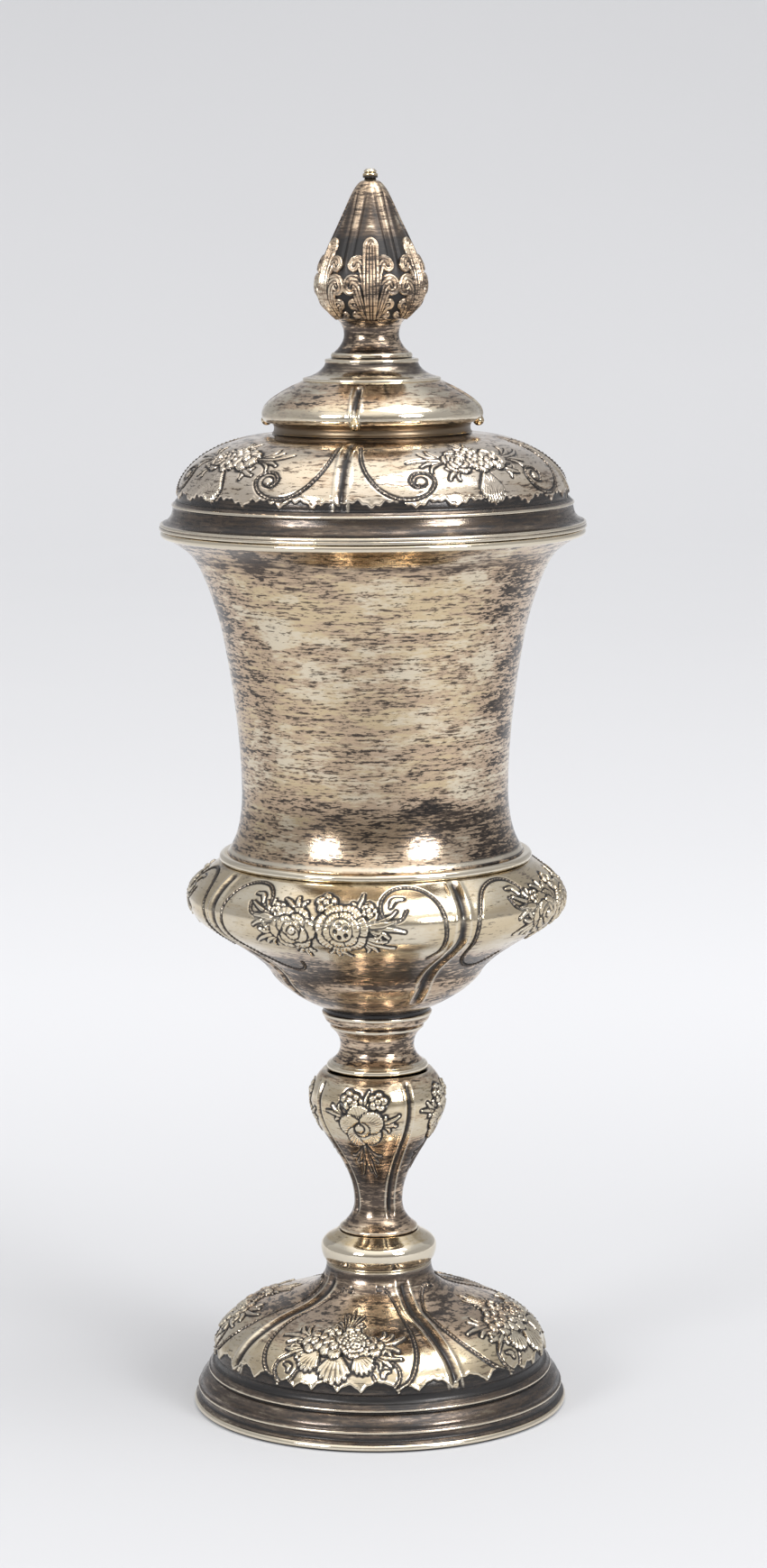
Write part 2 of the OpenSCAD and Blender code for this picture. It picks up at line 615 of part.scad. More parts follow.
module square_nut(w, h, bore) {
    difference() {
        translate([-w / 2, -w / 2, 0])
            cube([w, w, h]);
        translate([0, 0, -short_reach])
            cylinder(r = bore, h = h + 2 * short_reach);
    }
}

module tie_nut() {
    color(iron)
        translate([0, 0, nut_z])
            square_nut(nut_w, nut_h, rod_r + thread_gap);
}

// Pieces of the lid

module lid_bezel() {
    color(gilt)
        turned([[bezel_r - sheet, lid_z - bezel_h], [bezel_r, lid_z - bezel_h], [bezel_r, lid_z],
            [bezel_r - sheet, lid_z]]);
}

module lid_flange() {
    color(silver)
        turned(concat(flange_curve, [[lid_dome_r - 1.8 * sheet, lid_dome_z],
            [lid_ridge_r - 0.6 - 1.8 * sheet, lid_z + 0.6 * flange_h],
            [lid_ridge_r - 0.4, lid_z + 1.2 * sheet], [bezel_r - sheet, lid_z + 1.2 * sheet],
            [bezel_r - sheet, lid_z]]));
}

module lid_dome() {
    in_wall = inner(lid_curve, sheet, lid_dome_z, lid_neck_z - sheet);
    last = len(lid_curve) - 1;
    color(silver)
        difference() {
            union() {
                turned(concat([[lid_hole_r, lid_dome_z]], lid_curve, [[lid_hole_r, lid_neck_z]]));
                bouquets(lid_curve, lid_turn, lid_spots);
            }
            turned(concat([[0, lid_dome_z - long_reach], [2 * lid_dome_r, lid_dome_z - long_reach],
                [2 * lid_dome_r, lid_dome_z]], in_wall, [[0, lid_neck_z - sheet]]));
            blades(4, lid_curve, 2, last - 1, lid_turn, groove_d, short_reach, groove_w);
        }
}

module lid_neck() {
    color(gilt)
        turned(concat(
            arc([lid_neck_r + 0.6, lid_neck_z + 0.5 * lid_neck_h], 1.2, 0.5 * lid_neck_h, 240, 120, 6),
            [[lid_hole_r, cap_z], [lid_hole_r, lid_neck_z]]));
}

module lid_cap() {
    in_wall = inner(cap_curve, sheet, cap_z + sheet, fin_z - plate);
    last = len(cap_curve) - 1;
    color(silver_warm)
        union() {
            difference() {
                turned(concat([[cap_r - 1.6, cap_z]], cap_curve,
                    [[bolt_bore, fin_z], [bolt_bore, fin_z - plate]], flip(in_wall),
                    [[lid_hole_r, cap_z + sheet], [lid_hole_r, cap_z]]));
                blades(4, cap_curve, 4, last - 1, lid_turn, groove_d, short_reach, 0.7 * groove_w);
            }
            for (q = [0:3])
                translate(placed([cap_r - 1.2, cap_z + 0.4], lid_turn + 90 * q))
                    sphere(r = drop_r, $fn = 32);
        }
}

// Pieces of the finial

module finial_base() {
    color(silver)
        turned(concat(fin_foot_curve, [[fin_neck_r - 1.2 * sheet, fin_neck_z],
            [fin_neck_r - 1.2 * sheet, fin_z + 0.55 * fin_foot_h], [fin_ring_r - 0.4, fin_z + 0.85],
            [fin_foot_r - 3, fin_z]]));
}

module finial_neck() {
    color(silver)
        turned(concat(fin_neck_curve, flip(open_inner(fin_neck_curve, sheet))));
}

module finial_bud() {
    last = len(bud_curve) - 1;
    in_wall = inner(bud_curve, sheet, bud_z, tip_z - plate, bolt_bore);
    color(silver)
        union() {
            turned(concat(bud_curve, [[bolt_bore, tip_z], [bolt_bore, tip_z - plate]],
                flip([for (i = [1:last]) in_wall[i]]), [[fin_neck_r - 0.6 - 1.6 * sheet, bud_z]]));
            blades(6, bud_curve, 7, last - 1, 30, 0.4, rib_d, rib_w);
        }
}

// One leaf: a thin curved plate that follows the bud and curls out at its tip
leaf_rows = 10;
leaf_cols = 6;

// Length of a profile from its start to point n
function run_length(c, n) = n == 0 ? 0 : norm(c[n] - c[n - 1]) + run_length(c, n - 1);

// The stretch of the bud's profile that carries the leaves, and its length
leaf_steps = 16;
leaf_run = run_length(bud_curve, leaf_steps);

// Profile of the bud under a leaf, at a share s of the leaf's length
function under_leaf(s) = let (n = leaf_steps * s * leaf_l / leaf_run, i = min(floor(n), leaf_steps - 1))
    bud_curve[i] + (n - i) * (bud_curve[i + 1] - bud_curve[i]);

function leaf_normal(s) = outward(bud_curve, min(round(leaf_steps * s * leaf_l / leaf_run), leaf_steps));

// Half width of a leaf: narrow foot, three scallops, pointed tip
function leaf_half(s) = leaf_w * (0.42 + 0.58 * sin(180 * min(1, 0.1 + 0.95 * s)))
    * (1 - 0.12 * abs(sin(540 * s))) * (s > 0.8 ? 1 - 0.75 * (s - 0.8) / 0.2 : 1);

function leaf_point(i, j, lift) = let (s = i / leaf_rows, e = 2 * j / leaf_cols - 1,
    p = under_leaf(s), n = leaf_normal(s),
    body = 0.35 + 0.65 * min(1, 2.6 * s),
    curl = leaf_curl * (s > 0.7 ? pow((s - 0.7) / 0.3, 2) : 0),
    rise = lift * (lift > 0 ? body * (1 - 0.3 * e * e) : 1) + curl,
    q = p + rise * n)
    placed(q, e * leaf_half(s) / p[0] * 180 / PI);

module leaf() {
    w = leaf_cols + 1;
    n = (leaf_rows + 1) * w;
    points = concat(
        [for (i = [0:leaf_rows]) for (j = [0:leaf_cols]) leaf_point(i, j, -leaf_sink)],
        [for (i = [0:leaf_rows]) for (j = [0:leaf_cols]) leaf_point(i, j, leaf_t)]);
    skin = [for (i = [0:leaf_rows - 1]) for (j = [0:leaf_cols - 1]) let (a = i * w + j)
        each [[a, a + 1, a + w], [a + 1, a + w + 1, a + w],
            [n + a, n + a + w, n + a + 1], [n + a + 1, n + a + w, n + a + w + 1]]];
    sides = [for (i = [0:leaf_rows - 1]) let (a = i * w, b = a + leaf_cols)
        each [[a, a + w, n + a], [a + w, n + a + w, n + a], [b, n + b, b + w], [b + w, n + b, n + b + w]]];
    ends = [for (j = [0:leaf_cols - 1]) let (a = j, b = leaf_rows * w + j)
        each [[a, n + a, a + 1], [a + 1, n + a, n + a + 1], [b, b + 1, n + b], [b + 1, n + b + 1, n + b]]];
    polyhedron(points, concat(skin, sides, ends));
}

module finial_leaves() {
    color(silver)
        for (q = [0:5])
            rotate([0, 0, 60 * q])
                leaf();
}

cap_washer_z = fin_z - plate - cap_washer_t;
cap_nut_z = cap_washer_z - cap_nut_h;

module finial_bolt() {
    color(silver_warm)
        turned([[0, cap_nut_z - bolt_end], [bolt_r, cap_nut_z - bolt_end], [bolt_r, tip_z],
            [bolt_head_r, tip_z], [bolt_head_r, tip_z + 0.45 * bolt_head_h],
            [0.75 * bolt_head_r, tip_z + 0.55 * bolt_head_h],
            [0.9 * bolt_head_r, tip_z + 0.7 * bolt_head_h], [0.6 * bolt_head_r, tip_z + 0.95 * bolt_head_h],
            [0, tip_z + bolt_head_h]]);
}

module finial_washer() {
    color(iron)
        turned([[bolt_bore, cap_washer_z], [cap_washer_r, cap_washer_z],
            [cap_washer_r, cap_washer_z + cap_washer_t], [bolt_bore, cap_washer_z + cap_washer_t]]);
}

module finial_nut() {
    color(iron)
        translate([0, 0, cap_nut_z])
            square_nut(cap_nut_w, cap_nut_h, bolt_r + thread_gap);
}

foot_rim_wire();
foot_plinth();
foot_dome();
stem_knop();
stem_baluster();
stem_top_ring();
stem_neck();
bowl_seat();
bowl_bulge();
waist_wire();
bowl_beaker();
lip_wire();
bowl_boss();
tie_rod();
tie_washer();
tie_nut();
lid_bezel();
lid_flange();
lid_dome();
lid_neck();
lid_cap();
finial_base();
finial_neck();
finial_bud();
finial_leaves();
finial_bolt();
finial_washer();
finial_nut();
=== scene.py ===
import math

import bpy
import numpy as np
from bpy.props import FloatProperty, FloatVectorProperty, PointerProperty
from mathutils import Matrix


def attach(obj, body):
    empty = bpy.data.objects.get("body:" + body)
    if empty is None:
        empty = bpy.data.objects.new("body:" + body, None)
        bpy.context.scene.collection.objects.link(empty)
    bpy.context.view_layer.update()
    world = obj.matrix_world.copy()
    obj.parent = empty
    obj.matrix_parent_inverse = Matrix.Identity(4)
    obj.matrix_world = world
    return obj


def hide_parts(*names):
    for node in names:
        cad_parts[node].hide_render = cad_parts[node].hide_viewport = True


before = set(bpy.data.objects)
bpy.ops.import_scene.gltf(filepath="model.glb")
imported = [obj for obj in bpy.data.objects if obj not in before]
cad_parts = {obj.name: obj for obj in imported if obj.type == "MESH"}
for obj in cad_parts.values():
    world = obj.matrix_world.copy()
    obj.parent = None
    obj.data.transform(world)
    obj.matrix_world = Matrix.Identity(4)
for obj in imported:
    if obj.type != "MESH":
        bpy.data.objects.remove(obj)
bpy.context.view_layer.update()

bl_info = {
    "name": "Covered Goblet",
    "version": (1, 0, 0),
    "blender": (4, 5, 0),
    "location": "3D View > Sidebar > Goblet",
    "description": "Chased and tarnished silver around the packed frame of a covered goblet",
    "category": "Add Mesh",
}

MM = 0.001

# Photograph: its height and the focal length in pixels, where the camera stood, and the sensor's width in mm
PHOTO_H, FOCAL_PX = 1739, 4441
CAMERA_AT = (0.00217, -1.0213, 0.3121)
CAMERA_DOWN, CAMERA_ROLL = 8.30, -0.440
SENSOR = 36

# The point in the goblet's middle that the lamps look at, in metres
LAMP_AIM = (0, 0, 0.17)

# Outlines of the chased shells in mm, as the part's source draws them
SHEET, PLATE = 0.9, 1.2
DOME_R, DOME_Z, DOME_TOP_Z, FOOT_NECK_R = 43.6, 13.4, 37.0, 13.7
COVE_R, COVE_Z = 43.8, 11.0
STEM_Z, STEM_WAIST_Z, STEM_BELLY_Z, STEM_TOP_Z = 45.6, 53.3, 81.0, 88.4
STEM_FOOT_R, STEM_WAIST_R, STEM_BELLY_R, STEM_TOP_R = 10.2, 6.2, 17.4, 14.2
BOWL_Z, CALYX_Z, BELLY_Z, WAIST_Z = 105.8, 114.5, 134.5, 143.8
BOWL_FOOT_R, CALYX_R, BELLY_R, BELLY_TOP_R = 15.3, 27.2, 48.5, 40.0
LID_Z, LID_TOP_Z, LID_R, LID_NECK_R, LID_HOLE_R = 237.0, 253.4, 50.2, 25.6, 24.0
CAP_Z, CAP_TOP_Z, CAP_R, CAP_TOP_R, CAP_EDGE = 256.4, 266.8, 28.2, 17.7, 1.6
BUD_Z, BUD_BELLY_Z, BUD_TIP_Z = 282.6, 290.8, 317.6
BUD_FOOT_R, BUD_R, BUD_TIP_R = 9.0, 13.7, 3.0
ROD_BORE, BOLT_BORE = 2.7, 1.4
STACK_Z = 320

# Azimuths of one groove of the foot, stem and bowl, and of one groove of the lid, in degrees
LOBE_TURN, LID_TURN = 29, -9
LOBES, LEAVES = 4, 6
LOBE_STEP, LEAF_STEP = 360 / LOBES, 360 / LEAVES
HALF_LOBE = LOBE_STEP / 2

# A length past the end of every outline, a radius that counts as on the axis, and the drops' radius, in mm
TO_END, ON_AXIS, DROP_R = 99, 1e-6, 1.45

# Radii that the panels of the foot, belly and lid are drawn for, in mm
FOOT_PANEL_R, BELLY_PANEL_R, LID_PANEL_R = 38, 47, 46

# How far the ground between the lobes of the finial's leaves lies below the bud's outline, in mm
LEAF_SUNK = 0.7


# Sizes and colours that a user may change

def length_field(name, description, default, low, high):
    return FloatProperty(name=name, description=description, default=default, min=low, max=high,
                         unit="LENGTH")


def colour_field(name, description, *default):
    return FloatVectorProperty(name=name, description=description, default=default, min=0, max=1,
                               subtype="COLOR")


class GobletChasing(bpy.types.PropertyGroup):
    """Sizes of the chased work"""
    crown: length_field("Lobe crown", "How far a lobe swells between its grooves", 0.00045, 0, 0.0006)
    groove_depth: length_field("Groove depth", "Depth of the channels between the lobes", 0.00042, 0, 0.0006)
    groove_width: length_field("Groove width", "Half width of the channels between the lobes",
                               0.0009, 0.0003, 0.002)
    flower_rise: length_field("Flower rise", "How far flowers stand out of the sheet", 0.0009, 0, 0.002)
    leaf_rise: length_field("Leaf rise", "How far chased leaves stand out of the sheet", 0.0006, 0, 0.002)
    rope_rise: length_field("Rope rise", "Height of the beaded scroll lines", 0.0004, 0, 0.001)
    bead_pitch: length_field("Bead pitch", "Distance between beads of a scroll line", 0.0011, 0.0006, 0.003)
    outline_cut: length_field("Outline cut", "Depth of the line cut round each flower and leaf",
                              0.0004, 0, 0.001)


class GobletSilver(bpy.types.PropertyGroup):
    """Colours of the metal"""
    bright: colour_field("Rubbed silver", "Ridges and faces that are rubbed bright", 0.80, 0.73, 0.60)
    warm: colour_field("Yellowed silver", "Thin straw-coloured tarnish", 0.66, 0.53, 0.335)
    rose: colour_field("Rosy silver", "Thicker tarnish with a pink cast", 0.555, 0.415, 0.30)
    blush: colour_field("Blushed silver", "Pale pink cast of the lid", 0.84, 0.73, 0.64)
    # Brown and black also fill the recess mark, which holds painted shade as well as tarnish.
    brown: colour_field("Brown tarnish", "Patches of thick tarnish", 0.125, 0.097, 0.080)
    black: colour_field("Black tarnish", "Tarnish in grooves and hollows", 0.030, 0.030, 0.031)
    gilt: colour_field("Gilding", "Gilt neck of the lid and inside of the bowl", 0.83, 0.60, 0.24)
    iron: colour_field("Iron", "Rod, nuts and washers", 0.18, 0.16, 0.145)
    floor: colour_field("Floor", "The pale sweep that the goblet stands on", 0.79, 0.80, 0.83)


def size(name):
    """A size of the chased work in mm."""
    return getattr(bpy.context.scene.goblet_chasing, name) / MM


def colours():
    return bpy.context.scene.goblet_silver


# Outlines

def azimuths(columns):
    """The direction of each column of a turned piece in degrees."""
    return np.degrees(2 * np.pi * np.arange(columns) / columns)[None, :]


def per_degree(radius):
    """How many mm one degree is long at a radius."""
    return radius * np.pi / 180


def bezier(a, b, c, d, count=48):
    """Points of a cubic curve from a to d, pulled toward b and c."""
    t = np.linspace(0, 1, count + 1)[:, None]
    a, b, c, d = (np.asarray(p, float) for p in (a, b, c, d))
    return (1 - t) ** 3 * a + 3 * (1 - t) ** 2 * t * b + 3 * (1 - t) * t ** 2 * c + t ** 3 * d


def path(line, *curves):
    """The line carried on by curves, each given as its two pulls and its end."""
    line = np.asarray(line, float)
    for curve in curves:
        line = np.vstack([line, bezier(line[-1], *curve)[1:]])
    return line


def run_length(points):
    return np.r_[0, np.cumsum(np.linalg.norm(np.diff(points, axis=0), axis=1))]


def at_lengths(points, lengths):
    """Points of a line at the given lengths along it."""
    s = run_length(points)
    return np.stack([np.interp(lengths, s, points[:, k]) for k in range(points.shape[1])], -1)


def smooth_line(points, per_span=12):
    """A smooth line through the points, with more tension where they lie close together."""
    p = np.asarray(points, float)
    if len(p) < 3:
        return p
    p = np.vstack([2 * p[0] - p[1], p, 2 * p[-1] - p[-2]])
    gaps = np.maximum(np.linalg.norm(np.diff(p, axis=0), axis=1), 1e-9)
    knots = np.r_[0, np.cumsum(gaps ** 0.5)]
    out = []
    for i in range(1, len(p) - 2):
        k = knots[i - 1:i + 3]
        q = p[i - 1:i + 3]
        t = np.linspace(k[1], k[2], per_span, endpoint=False)[:, None]
        a = [((k[j + 1] - t) * q[j] + (t - k[j]) * q[j + 1]) / (k[j + 1] - k[j]) for j in range(3)]
        b = [((k[j + 2] - t) * a[j] + (t - k[j]) * a[j + 1]) / (k[j + 2] - k[j]) for j in range(2)]
        out.append(((k[2] - t) * b[0] + (t - k[1]) * b[1]) / (k[2] - k[1]))
    return np.vstack(out + [p[-2:-1]])


def values_of(items, name, width, kind=float):
    """The named values of a mesh's items, a row for each item."""
    found = np.empty(width * len(items), kind)
    items.foreach_get(name, found)
    return found.reshape(-1, width)


def section(node):
    """The outline of a plain turned node in mm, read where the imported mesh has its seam, on +X."""
    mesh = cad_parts[node].data
    co = values_of(mesh.vertices, "co", 3)
    ends = values_of(mesh.edges, "vertices", 2, int)
    seam = (np.abs(co[:, 1]) < 2e-7) & (co[:, 0] > -1e-7)
    microns = np.round(co[:, [0, 2]] * 1e6).astype(int)
    links = {}
    for a, b in ends[seam[ends].all(1)]:
        a, b = tuple(microns[a]), tuple(microns[b])
        if a != b:
            links.setdefault(a, set()).add(b)
            links.setdefault(b, set()).add(a)
    loose = [k for k in links if len(links[k]) == 1]
    chain = [loose[0] if loose else next(iter(links))]
    while True:
        onward = [k for k in links[chain[-1]] if k not in chain]
        if not onward:
            break
        chain.append(onward[0])
    points = np.array(chain) / 1000
    if loose:
        first, last = ([(0, z)] if r > 0 else points[:0] for r, z in points[[0, -1]])
        points = np.vstack([first, points, last])
    return points


def refined(loop, spacing, closed=True, sharp=40, soft=0.12, hold=0.3):
    """Rows of an outline: smooth runs between its corners, and a small bevel at each corner."""
    n = len(loop)
    a, b = loop - np.roll(loop, 1, 0), np.roll(loop, -1, 0) - loop
    turn = np.degrees(np.abs(np.arctan2(a[:, 0] * b[:, 1] - a[:, 1] * b[:, 0], (a * b).sum(1))))
    corners = [i for i in range(n) if turn[i] > sharp] or [0]
    if not closed:
        corners = sorted({0, n - 1, *corners})
    rows = []
    count = len(corners) if closed else len(corners) - 1
    for i in range(count):
        start, stop = corners[i], corners[(i + 1) % len(corners)]
        if stop <= start:
            stop += n
        line = smooth_line(loop[np.arange(start, stop + 1) % n])
        whole = run_length(line)[-1]
        if whole < 2.6 * hold:
            at = whole * np.array([0.18, 0.5, 0.82])
        else:
            inside = np.linspace(hold, whole - hold, max(2, math.ceil(whole / spacing)))
            at = np.r_[soft, inside, whole - soft]
        if not closed and i == 0:
            at[0] = 0
        if not closed and i == count - 1:
            at[-1] = whole
        rows.append(at_lengths(line, at))
    return np.vstack(rows)


def drawn_upward(outline):
    """The outline with its outer side going up, so that its faces look outward."""
    r, z = outline[:, 0], outline[:, 1]
    area = (r * np.roll(z, -1) - np.roll(r, -1) * z).sum()
    return outline if area > 0 else outline[::-1]


def outward(line):
    """Unit normals of a line drawn upward, pointing away from the axis."""
    d = np.gradient(line, axis=0)
    d /= np.maximum(np.linalg.norm(d, axis=1, keepdims=True), 1e-9)
    return np.stack([d[:, 1], -d[:, 0]], -1)


def inset(line, low, high, bore=0):
    """The inner face of a shell from its top down, kept between two heights and outside a bore."""
    moved = line - SHEET * outward(line)
    return np.stack([np.maximum(moved[:, 0], bore), np.clip(moved[:, 1], low, high)], -1)[::-1]


def dome_line():
    rise = DOME_TOP_Z - DOME_Z
    mid = (FOOT_NECK_R + 0.395 * (DOME_R - FOOT_NECK_R), DOME_Z + 0.6 * rise)
    cove = smooth_line([(COVE_R, COVE_Z), (DOME_R - 0.25, COVE_Z + 0.8), (DOME_R - 0.3, COVE_Z + 1.7),
                        (DOME_R, DOME_Z)])
    return path(
        cove,
        ((DOME_R, DOME_Z + 0.265 * rise), (DOME_R - 7.2, DOME_Z + 0.49 * rise), mid),
        ((mid[0] - 7, DOME_Z + 0.678 * rise), (FOOT_NECK_R, DOME_Z + 0.767 * rise),
         (FOOT_NECK_R, DOME_TOP_Z)))


def baluster_line():
    rise, fall = STEM_BELLY_Z - STEM_WAIST_Z, STEM_TOP_Z - STEM_BELLY_Z
    band = STEM_Z + 1.3
    return path(
        [(STEM_FOOT_R - 0.3, STEM_Z), (STEM_FOOT_R, STEM_Z + 0.3), (STEM_FOOT_R, band - 0.3),
         (STEM_FOOT_R - 0.4, band)],
        ((STEM_WAIST_R + 2, band + 1.2), (STEM_WAIST_R, STEM_WAIST_Z - 3.2), (STEM_WAIST_R, STEM_WAIST_Z)),
        ((STEM_WAIST_R, STEM_WAIST_Z + 0.42 * rise), (STEM_BELLY_R, STEM_WAIST_Z + 0.69 * rise),
         (STEM_BELLY_R, STEM_BELLY_Z)),
        ((STEM_BELLY_R, STEM_BELLY_Z + 0.4 * fall), (STEM_TOP_R + 1.6, STEM_BELLY_Z + 0.8 * fall),
         (STEM_TOP_R, STEM_TOP_Z)))


def belly_line():
    calyx, rise, fall = CALYX_Z - BOWL_Z, BELLY_Z - CALYX_Z, WAIST_Z - BELLY_Z
    mid = (CALYX_R + 0.7 * (BELLY_R - CALYX_R), CALYX_Z + 0.585 * rise)
    return path(
        [(BOWL_FOOT_R, BOWL_Z)],
        ((BOWL_FOOT_R + 5, BOWL_Z + 2.2), (CALYX_R - 1.8, BOWL_Z + 0.67 * calyx), (CALYX_R, CALYX_Z)),
        ((CALYX_R + 1.6, CALYX_Z + 3.3), (mid[0] - 7.6, mid[1] - 4.5), mid),
        ((mid[0] + 3.7, mid[1] + 2.2), (BELLY_R, BELLY_Z - 3.5), (BELLY_R, BELLY_Z)),
        ((BELLY_R, BELLY_Z + 0.35 * fall), (BELLY_TOP_R + 4, WAIST_Z - 0.27 * fall), (BELLY_TOP_R, WAIST_Z)))


def lid_line():
    rise = LID_TOP_Z - LID_Z
    return path(
        [(LID_R, LID_Z), (LID_R, LID_Z + 0.06 * rise)],
        ((LID_R - 0.5, LID_Z + 0.52 * rise), (LID_R - 9.7, LID_TOP_Z - 0.9), (LID_NECK_R + 0.6, LID_TOP_Z)))


def cap_line():
    rise = CAP_TOP_Z - CAP_Z
    turn = np.radians(np.linspace(-70, 0, 13))
    edge = np.stack([CAP_R - CAP_EDGE + CAP_EDGE * np.cos(turn), CAP_Z + 0.2 * rise * (1 + np.sin(turn))], -1)
    return path(
        np.vstack([[(CAP_R - CAP_EDGE, CAP_Z)], edge]),
        ((CAP_R, CAP_Z + 0.5 * rise), (CAP_TOP_R + 5.2, CAP_Z + 0.73 * rise), (CAP_TOP_R, CAP_TOP_Z)))


def bud_line():
    low, rise = BUD_BELLY_Z - BUD_Z, BUD_TIP_Z - BUD_BELLY_Z
    return path(
        [(BUD_FOOT_R, BUD_Z)],
        ((BUD_FOOT_R + 1.5, BUD_Z + 0.2 * low), (BUD_R, BUD_BELLY_Z - 0.5 * low), (BUD_R, BUD_BELLY_Z)),
        ((BUD_R, BUD_BELLY_Z + 0.2 * rise), (BUD_TIP_R + 4.6, BUD_BELLY_Z + 0.55 * rise),
         (BUD_TIP_R, BUD_TIP_Z)))


def ease(x):
    x = np.clip(x, 0, 1)
    return x * x * (3 - 2 * x)


def bell(spread, reach):
    """Weights of a soft blur that takes in as many samples on both sides as reach says."""
    weight = np.exp(-0.5 * (np.arange(-reach, reach + 1) / spread) ** 2)
    return weight / weight.sum()


# Wear and painted shade: ridges of the whole stack are rubbed bright, and its hollows and the crevices
# between its pieces are darker, as tarnish and as painted shade

class WearAndShade:
    fine, step = 0.05, 0.1

    def __init__(self, outlines):
        z = np.arange(0, STACK_Z + 0.2, self.fine)
        reach = np.zeros_like(z)
        for line in outlines:
            dense = at_lengths(line, np.arange(0, run_length(line)[-1], 0.03))
            slot = np.clip(np.round(dense[:, 1] / self.fine).astype(int), 0, len(z) - 1)
            np.maximum.at(reach, slot, dense[:, 0])
        outline = np.stack([reach, z], -1)
        even = at_lengths(outline, np.arange(0, run_length(outline)[-1], self.step))
        normal = outward(even)
        self.r, self.z = even.T
        self.proud = np.zeros(len(even))
        for spread, share in ((0.8, 1.0), (2.6, 0.2)):
            ends = int(3 * spread / self.step)
            weight = bell(spread / self.step, ends)
            padded = np.pad(even, ((ends, ends), (0, 0)), mode="edge")
            soft = np.stack([np.convolve(padded[:, k], weight, "valid") for k in (0, 1)], -1)
            self.proud += share * ((even - soft) * normal).sum(1)

    def at(self, outline):
        """How proud each row stands, and 0 for rows that the stack hides."""
        gap = np.abs(outline[:, None, 1] - self.z) + 0.5 * np.abs(outline[:, None, 0] - self.r)
        near = gap.argmin(1)
        hidden = np.hypot(outline[:, 1] - self.z[near], outline[:, 0] - self.r[near])
        return self.proud[near] * np.exp(-(hidden / 0.8) ** 2)


# Chasing drawn flat, one panel at a time

def blurred(field, spread):
    reach = int(3 * spread) + 1
    for axis in (0, 1):
        padded = np.pad(field, [(reach, reach) if k == axis else (0, 0) for k in (0, 1)], mode="edge")
        field = sum(w * np.take(padded, np.arange(i, i + field.shape[axis]), axis)
                    for i, w in enumerate(bell(spread, reach)))
    return field


def off(x, y, reach, angle):
    """The point at a distance from x, y in a direction."""
    return x + reach * math.cos(angle), y + reach * math.sin(angle)


def ring(x, y, reach, count, start):
    """Points spaced evenly round x, y."""
    return [off(x, y, reach, start + 2 * math.pi * k / count) for k in range(count)]


def stretched(line, share):
    """The line with its distances from the panel's middle times the share."""
    return [(share * x, y) for x, y in line]


